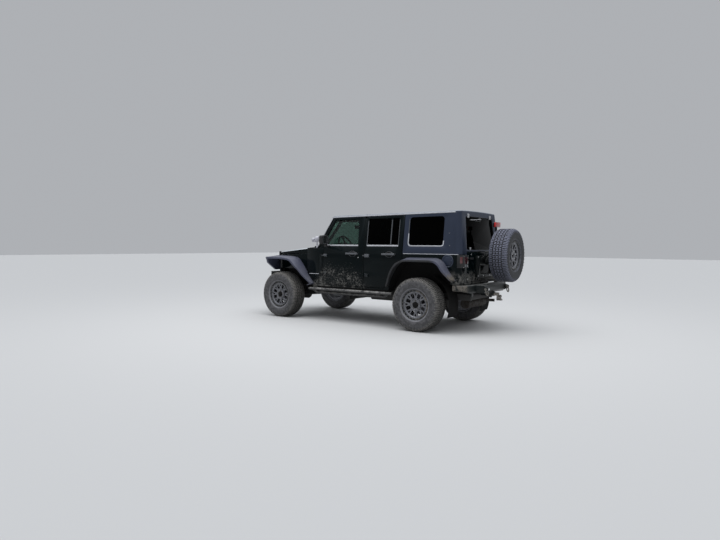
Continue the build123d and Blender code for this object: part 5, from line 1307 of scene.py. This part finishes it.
def make_rear_glass_fittings():
    """Seal, hinges, handles and wiper of the rear glass."""
    back = Vector((-0.9946, 0, 0.104))
    seal = bmesh.new()
    corners = [(0.560, 1.290), (-0.560, 1.290), (-0.515, 1.822), (0.515, 1.822)]
    join(seal, pipe([rear_pane(y, z, 0.002) for y, z in corners], 0.006, 0.05, closed=True))
    keep_piece("rear_glass_seal", seal, "chassis", "seal_rubber")
    metal = bmesh.new()
    for y in (0.42, -0.42):
        cuboid(metal, rear_pane(y - 0.028, 1.800, 0.014), rear_pane(y + 0.028, 1.862, -0.006), 0.004)
        lathe(metal, [(0, 0.032), (0.0075, 0.032), (0.0075, -0.032), (0, -0.032)],
              turned((0, 1, 0), rear_pane(y, 1.846, 0.014)), 16)
        for z in (1.812, 1.832):
            bolt(metal, rear_pane(y, z, 0.013), back, 0.005, 0.004)
    for y in (0.440, -0.440):
        cuboid(metal, rear_pane(y - 0.014, 1.288, 0.016), rear_pane(y + 0.014, 1.336, -0.002), 0.004)
    keep_piece("rear_glass_hinges", metal, "chassis", "pale_metal")
    arm = bmesh.new()
    line = [rear_pane(0.0, 1.785, 0.028), rear_pane(0.16, 1.776, 0.022), rear_pane(0.36, 1.768, 0.014)]
    join(arm, pipe(line, 0.0055, 0.03))
    keep_piece("rear_wiper_arm", arm, "chassis", "pale_metal")
    wiper = bmesh.new()
    hub = [(0, 0.030), (0.022, 0.028), (0.028, 0.018), (0.030, 0.0)]
    lathe(wiper, hub, turned(back, rear_pane(0.0, 1.785)), 28)
    join(wiper, pipe([rear_pane(-0.02, 1.752, 0.008), rear_pane(0.40, 1.764, 0.008)], 0.0055, 0))
    keep_piece("rear_wiper", wiper, "chassis", "seal_rubber")


def make_tailgate_fittings():
    """Bolts and screws on the tailgate, and the spare wheel's nuts."""
    bm = bmesh.new()
    for y, z in ((0.540, 1.162), (0.540, 0.842), (0.421, 1.222)):
        disc(bm, at(-0.695, y, z), (-1, 0, 0), 0.011, 0.006)
    for y in (-0.400, -0.210, 0.040, 0.230):
        for z in (0.880, 1.180):
            bolt(bm, at(-0.735, y, z), (-1, 0, 0), 0.008, 0.007)
    for z in (0.856, 0.978):
        for y in (-0.520, -0.470):
            bolt(bm, at(-0.702, y, z), (-1, 0, 0), 0.007, 0.006)
    keep_piece("tailgate_bolts", bm, "tailgate", "bright_metal")
    hub = bmesh.new()
    for i in range(LUG_NUTS):
        angle = math.tau * (i + 0.25) / LUG_NUTS
        spot = SPARE + Vector((-0.096, LUG_CIRCLE * math.cos(angle), LUG_CIRCLE * math.sin(angle)))
        lathe(hub, [(0, 0.020), (0.008, 0.019), (0.010, 0.014), (0.010, -0.004)], turned((-1, 0, 0), spot), 6)
    keep_piece("spare_nuts", hub, "tailgate", "bright_metal")


SHACKLES = {
    # end: x and z of the pin, y, angle at which the bow hangs from straight down
    "rear": (-0.960, 0.690, 0.430, 12.0),
    "front": (3.572, 0.732, 0.400, 0.0),
}
SHACKLE_LEG = 0.030
SHACKLE_BAR = 0.0092


def make_shackles():
    """Bow shackles with their pins in the four recovery tabs."""
    for end, (x, z, y, lean) in SHACKLES.items():
        for side, way in SIDES.items():
            bm = bmesh.new()
            half, eye, bow = SHACKLE_LEG, 0.024, 0.092
            line = [(0, half, 0.0), (0, half, -0.022), (0, half + 0.014, -0.056), (0, 0.020, -bow),
                    (0, -0.020, -bow), (0, -half - 0.014, -0.056), (0, -half, -0.022), (0, -half, 0.0)]
            join(bm, pipe(line, SHACKLE_BAR, 0.022))
            for leg in (half, -half):
                lathe(bm, [(0.009, 0.009), (0.017, 0.009), (eye * 0.82, 0.004), (eye * 0.82, -0.004),
                           (0.017, -0.009), (0.009, -0.009)], Matrix.Translation((0, leg, 0)), 24)
            lathe(bm, [(0, half + 0.014), (0.0095, half + 0.014), (0.0095, -half - 0.012),
                       (0.015, -half - 0.013), (0.015, -half - 0.020), (0, -half - 0.020)], Matrix(), 20)
            tilt = Matrix.Rotation(math.radians(lean), 4, "Y")
            place(bm, Matrix.Translation(at(x, way * y, z)) @ tilt)
            keep_piece(f"shackle_{end}_{side}", bm, "chassis", "bare_steel")


def make_hitch():
    """A dropped ball mount with its cross pin in the receiver."""
    bm = bmesh.new()
    cuboid(bm, at(-0.985, -0.0252, 0.5638), at(-0.780, 0.0252, 0.6142), 0.003)
    cuboid(bm, at(-0.992, -0.024, 0.490), at(-0.960, 0.024, 0.610), 0.004)
    cuboid(bm, at(-1.045, -0.030, 0.490), at(-0.962, 0.030, 0.510), 0.005)
    ball = [(0.0, 0.070), (0.010, 0.069), (0.020, 0.062), (0.0245, 0.050), (0.021, 0.036), (0.013, 0.029),
            (0.013, 0.014), (0.021, 0.012), (0.021, 0.0), (0.0, 0.0)]
    lathe(bm, ball, turned((0, 0, 1), at(-1.016, 0, 0.510)), 28)
    pin = [at(-0.860, 0.062, 0.589), at(-0.860, -0.055, 0.589), at(-0.835, -0.062, 0.560)]
    join(bm, pipe(pin, 0.0075, 0.015))
    keep_piece("ball_mount", bm, "chassis", "bare_steel")


def make_head_lamps():
    """A clear lens and a rim in each head lamp."""
    for side, way in SIDES.items():
        spot = at(3.305, way * 0.425, 1.020)
        lens = bmesh.new()
        lathe(lens, [(0.0, 0.021), (0.030, 0.0195), (0.060, 0.0145), (0.080, 0.006), (0.0835, 0.004),
                     (0.080, 0.0035), (0.0, 0.0035)], turned((1, 0, 0), spot), 48)
        keep_piece(f"head_lamp_lens_{side}", lens, "chassis", "lamp_glass")
        rim = bmesh.new()
        lathe(rim, [(0.0838, 0.003), (0.0845, 0.009), (0.0880, 0.011), (0.0925, 0.008), (0.0935, 0.002)],
              turned((1, 0, 0), spot), 48)
        keep_piece(f"head_lamp_rim_{side}", rim, "chassis", "bumper_black")


ARCHES = {
    # end: place of the axle, radius, first and last angle in degrees
    "rear": (REAR_AXLE.x, 0.505, 24.0, 112.0),
    "front": (FRONT_AXLE.x, 0.560, 62.0, 86.0),
}
ARCH_SIDES = (0.455, 0.770)
SHIELD_Y = 0.436
# The shields' foot is lower than a real splash shield's: the dark sheet below stands for shade under the
# body.
SHIELD_FOOT_Z = 0.592
SHIELDS = {"front": ((2.470, 3.200), 0.900), "rear": ((-0.620, 0.300), 0.790)}


def make_liners():
    """Curved inner arches behind the wheels and upright shields beside the frame. The shields reach lower
    than a real splash shield, and their dark lower part stands for the shade under the body.
    """
    for end, (x, radius, low, high) in ARCHES.items():
        for side, way in SIDES.items():
            bm = bmesh.new()
            verts = [bm.verts.new((x, way * y, REAR_AXLE.z + radius)) for y in ARCH_SIDES]
            edge = bm.edges.new(verts)
            bmesh.ops.rotate(bm, verts=verts, cent=(x, 0, REAR_AXLE.z),
                             matrix=Matrix.Rotation(-math.radians(low), 3, "Y"))
            bmesh.ops.spin(bm, geom=verts + [edge], angle=math.radians(high - low), steps=24, axis=(0, -1, 0),
                           cent=(x, 0, REAR_AXLE.z))
            bmesh.ops.recalc_face_normals(bm, faces=bm.faces)
            bmesh.ops.solidify(bm, geom=bm.faces[:], thickness=0.004)
            (x0, x1), z1 = SHIELDS[end]
            y = way * SHIELD_Y
            cuboid(bm, at(x0, y - 0.002, SHIELD_FOOT_Z), at(x1, y + 0.002, z1), 0.001, 1)
            keep_piece(f"arch_liner_{end}_{side}", bm, "chassis", "inner_black")


SPRING_TURNS = 6.5
SPRING_RADIUS = 0.0435
SPRING_WIRE = 0.0065
SPRING_Y = 0.495
COIL_STEPS = 20


def make_springs():
    """Four coils with flat ends."""
    low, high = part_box("coil_springs")
    bottom, top = low.z + SPRING_WIRE, high.z - SPRING_WIRE
    count = int(SPRING_TURNS * COIL_STEPS)
    coils = bmesh.new()
    for x in (REAR_AXLE.x, FRONT_AXLE.x):
        for way in (LEFT, RIGHT):
            line = []
            for i in range(count + 1):
                share = min(max((i / count - 0.08) / 0.84, 0.0), 1.0)
                angle = math.tau * i / COIL_STEPS
                round_x, round_y = SPRING_RADIUS * math.cos(angle), SPRING_RADIUS * math.sin(angle)
                line.append(Vector((x + round_x, way * SPRING_Y + round_y, bottom + (top - bottom) * share)))
            join(coils, pipe(line, SPRING_WIRE, 0, rings=2))
    keep_piece("coil_spring_wires", coils, "chassis", "under_iron", replaces=["coil_springs"])


SEATS_Y = 0.380
CLOTH_FRAMES = 20
VOXEL = 0.009
PAD_PRESSURE = 4.0
PAD_REACH = 0.014


def padded_form(size, roundness):
    """A block with large round edges at the origin."""
    bm = bmesh.new()
    bmesh.ops.create_cube(bm, size=1.0)
    place(bm, Matrix.Diagonal((*size, 1)))
    bevel(bm, bm.edges[:], min(size) * roundness, 5)
    wide = [e for e in bm.edges if e.calc_length() > 0.08]
    bmesh.ops.subdivide_edges(bm, edges=wide, cuts=6, use_grid_fill=True)
    return bm


def fill_out(piece):
    """Fills a closed form out like padding. No point moves further than the reach."""
    remesh = piece.modifiers.new("even_mesh", "REMESH")
    remesh.mode = "VOXEL"
    remesh.voxel_size = VOXEL
    graph = bpy.context.evaluated_depsgraph_get()
    even = bpy.data.meshes.new_from_object(piece.evaluated_get(graph))
    piece.modifiers.remove(remesh)
    piece.data = even
    start = [v.co.copy() for v in even.vertices]
    cloth = piece.modifiers.new("filling", "CLOTH")
    cloth.settings.use_pressure = True
    cloth.settings.uniform_pressure_force = PAD_PRESSURE
    cloth.settings.effector_weights.gravity = 0.0
    cloth.point_cache.frame_end = CLOTH_FRAMES
    for number in range(1, CLOTH_FRAMES + 1):
        bpy.context.scene.frame_set(number)
    graph = bpy.context.evaluated_depsgraph_get()
    filled = bpy.data.meshes.new_from_object(piece.evaluated_get(graph))
    piece.modifiers.remove(cloth)
    bpy.context.scene.frame_set(1)
    for vertex, old, new in zip(even.vertices, start, filled.vertices):
        step = new.co - old
        if step.length > PAD_REACH:
            step *= PAD_REACH / step.length
        vertex.co = old + step
    bpy.data.meshes.remove(filled)


def press_seams(mesh, seams, depth=0.009, width=0.010):
    """Presses sewn channels in. A seam is an axis and a place on it."""
    for vertex in mesh.vertices:
        for axis, spot in seams:
            off = vertex.co[axis] - spot
            if abs(off) < 3 * width:
                vertex.co -= vertex.normal * depth * math.exp(-(off / width) ** 2)


PADS = {
    # piece: size, place, lean in degrees, seams across (axis 1) and along or up (axis 0 or 2)
    "front_cushion": (
        (0.470, 0.470, 0.120), (1.545, SEATS_Y, 0.885), -5.0, ((1, -0.155), (1, 0.155), (0, 0.05)),
    ),
    "front_back": (
        (0.100, 0.460, 0.610), (1.285, SEATS_Y, 1.235), -12.5, ((1, -0.155), (1, 0.155), (2, 0.13)),
    ),
    "front_head_rest": ((0.066, 0.220, 0.165), (1.198, SEATS_Y, 1.628), -7.5, ()),
    "bench_cushion": ((0.430, 1.070, 0.105), (0.755, 0.0, 0.885), -3.5, ((1, -0.18), (1, 0.18), (0, 0.06))),
    "bench_back": ((0.095, 1.060, 0.560), (0.508, 0.0, 1.200), -10.0, ((1, -0.18), (1, 0.18), (2, 0.10))),
}


def make_seats():
    """Padded seats: each pad is filled out by cloth, then gets its seams and its place."""
    for name, (size, spot, lean, seams) in PADS.items():
        mesh = bpy.data.meshes.new(name)
        form = padded_form([s - 0.012 for s in size], 0.30)
        form.to_mesh(mesh)
        form.free()
        helper = bpy.data.objects.new(name, mesh)
        bpy.context.scene.collection.objects.link(helper)
        fill_out(helper)
        press_seams(helper.data, seams)
        for side, way in (SIDES if spot[1] else {"middle": LEFT}).items():
            bm = bmesh.new()
            bm.from_mesh(helper.data)
            place(bm, Matrix.Translation(at(spot[0], way * spot[1], spot[2])) @
                  Matrix.Rotation(math.radians(lean), 4, "Y"))
            piece = keep_piece(
                f"seat_{name}_{side}", bm, "chassis", "seat_cloth", 60.0, ["seats"],
            )
            piece.modifiers.new("soft", "SUBSURF").levels = 1
            piece.modifiers["soft"].render_levels = 1
        bpy.data.objects.remove(helper)


def make_seat_frames():
    """Seat bases, head rest posts and the middle console."""
    bm = bmesh.new()
    for way in (LEFT, RIGHT):
        y = way * SEATS_Y
        cuboid(bm, at(1.365, y - 0.185, 0.634), at(1.755, y + 0.185, 0.815), 0.02)
        for off in (-0.055, 0.055):
            join(bm, pipe([at(1.225, y + off, 1.500), at(1.205, y + off, 1.600)], 0.006, 0))
        join(bm, pipe([at(1.30, y + way * 0.245, 0.90), at(1.40, y + way * 0.250, 0.905)], 0.022, 0))
    cuboid(bm, at(0.605, -0.495, 0.634), at(0.925, 0.495, 0.832), 0.02)
    keep_piece("seat_bases", bm, "chassis", "trim_plastic", replaces=["seats"])
    console = bmesh.new()
    cuboid(console, at(1.240, -0.095, 0.634), at(1.560, 0.095, 0.960), 0.025, 3)
    cuboid(console, at(1.560, -0.085, 0.634), at(1.955, 0.085, 0.840), 0.020, 3)
    for y, top in ((0.035, 1.010), (-0.040, 0.985)):
        join(console, pipe([at(1.700, y, 0.835), at(1.690, y, top)], 0.007, 0))
        lathe(console, [(0, 0.028), (0.018, 0.022), (0.024, 0.004), (0.018, -0.014), (0, -0.018)],
              turned((0, 0, 1), at(1.690, y, top)), 20)
    keep_piece("console", console, "chassis", "trim_plastic")


VISOR_Y = 0.335
VISOR_HALF = 0.175


def make_cabin_fittings():
    """Gauges, air vents, sun visors and the inner mirror."""
    dials = bmesh.new()
    for y, radius in ((0.435, 0.052), (0.305, 0.052), (0.370, 0.026)):
        bezel = [(radius, 0.0), (radius, 0.010), (radius * 0.93, 0.010), (radius * 0.90, 0.003), (0, 0.003)]
        lathe(dials, bezel, turned((-0.94, 0, 0.34), at(1.984, y, 1.250)), 36)
    nozzle = [(0.044, 0.0), (0.044, 0.010), (0.036, 0.008), (0.032, 0.002), (0, 0.002)]
    for y in (0.610, 0.160, -0.160, -0.610):
        lathe(dials, nozzle, turned((-0.99, 0, 0.12), at(1.9690, y, 1.205)), 28)
    keep_piece("dash_dials", dials, "chassis", "trim_plastic")
    visors = bmesh.new()
    for way in (LEFT, RIGHT):
        y = way * VISOR_Y
        cuboid(visors, at(1.690, y - VISOR_HALF, 1.782), at(1.835, y + VISOR_HALF, 1.798), 0.007, 3)
    keep_piece("sun_visors", visors, "chassis", "dash_trim")
    mirror = bmesh.new()
    cuboid(mirror, at(1.800, -0.120, 1.655), at(1.822, 0.120, 1.715), 0.008, 3)
    join(mirror, pipe([at(1.822, 0, 1.69), at(1.868, 0, 1.715)], 0.007, 0))
    keep_piece("inner_mirror", mirror, "chassis", "trim_plastic")


FLOOR_SIZE = 60.0


def make_floor():
    """The studio's plain floor."""
    bm = bmesh.new()
    bmesh.ops.create_grid(bm, x_segments=1, y_segments=1, size=FLOOR_SIZE)
    mesh = bpy.data.meshes.new("floor")
    bm.to_mesh(mesh)
    bm.free()
    floor = bpy.data.objects.new("floor", mesh)
    bpy.context.scene.collection.objects.link(floor)
    ground = Finish("studio_floor")
    ground.set(Base_Color=(0.56, 0.56, 0.555, 1.0), Roughness=0.95, Specular_IOR_Level=0.1)
    mesh.materials.append(ground.material)


# Strength of the sky below one angle over the horizon and above another, and the lamp over the vehicle
LOW_SKY, HIGH_SKY = 0.46, 1.55
LOW_RISE, HIGH_RISE = math.sin(math.radians(24.0)), math.sin(math.radians(58.0))
LAMP_SPOT, LAMP_AIM = Vector((-0.5, 1.6, 6.0)), Vector((0.0, 0.2, 0.8))
LAMP_WIDTH, LAMP_DEPTH = 5.0, 3.0
LAMP_WATTS = 130.0


def make_light():
    """A studio sky: pale at the sides and bright overhead, with one soft lamp above."""
    world = bpy.data.worlds.new("studio")
    bpy.context.scene.world = world
    world.use_nodes = True
    nodes, links = world.node_tree.nodes, world.node_tree.links
    back = nodes["Background"]
    back.inputs["Color"].default_value = (0.92, 0.95, 1.0, 1.0)
    way = nodes.new("ShaderNodeTexCoord")
    split = nodes.new("ShaderNodeSeparateXYZ")
    links.new(way.outputs["Generated"], split.inputs[0])
    rise = nodes.new("ShaderNodeMapRange")
    rise.interpolation_type = "SMOOTHSTEP"
    for socket, value in zip(rise.inputs, (None, LOW_RISE, HIGH_RISE, LOW_SKY, HIGH_SKY)):
        if value is not None:
            socket.default_value = value
    links.new(split.outputs[2], rise.inputs[0])
    links.new(rise.outputs[0], back.inputs["Strength"])
    data = bpy.data.lights.new("overhead", "AREA")
    data.shape = "RECTANGLE"
    data.size, data.size_y = LAMP_WIDTH, LAMP_DEPTH
    data.energy = LAMP_WATTS
    lamp = bpy.data.objects.new("overhead", data)
    lamp.location = LAMP_SPOT
    lamp.rotation_euler = (LAMP_AIM - LAMP_SPOT).to_track_quat("-Z", "Y").to_euler()
    bpy.context.scene.collection.objects.link(lamp)


# The camera as fitted to the photograph
CAMERA_YAW, CAMERA_PITCH, CAMERA_ROLL = (math.radians(angle) for angle in (-53.78, -2.63, 0.39))
CAMERA_SPOT = (-4.359, 8.367, 1.362)
CAMERA_SENSOR = 36.0
CAMERA_LENS = 27.37


def make_camera():
    """The camera at the photograph's place."""
    data = bpy.data.cameras.new("camera")
    data.sensor_width = CAMERA_SENSOR
    data.lens = CAMERA_LENS
    camera = bpy.data.objects.new("camera", data)
    flat = math.cos(CAMERA_PITCH)
    forward = Vector((flat * math.cos(CAMERA_YAW), flat * math.sin(CAMERA_YAW), math.sin(CAMERA_PITCH)))
    right = Vector((math.sin(CAMERA_YAW), -math.cos(CAMERA_YAW), 0.0))
    up = right.cross(forward)
    cosine, sine = math.cos(CAMERA_ROLL), math.sin(CAMERA_ROLL)
    matrix = Matrix((right * cosine + up * sine, up * cosine - right * sine, -forward)).transposed().to_4x4()
    matrix.translation = at(*CAMERA_SPOT)
    camera.matrix_world = matrix
    bpy.context.scene.collection.objects.link(camera)
    bpy.context.scene.camera = camera
    bpy.context.scene.view_settings.view_transform = "Standard"


make_camera()
make_light()
make_floor()
make_panels()
make_tyres()
make_wheels()
make_seals()
make_door_fittings()
make_body_fittings()
make_cowl()
make_mirror_faces()
make_rear_lamps()
make_rear_glass_fittings()
make_tailgate_fittings()
make_shackles()
make_hitch()
make_head_lamps()
make_liners()
make_springs()
make_seats()
make_seat_frames()
make_cabin_fittings()
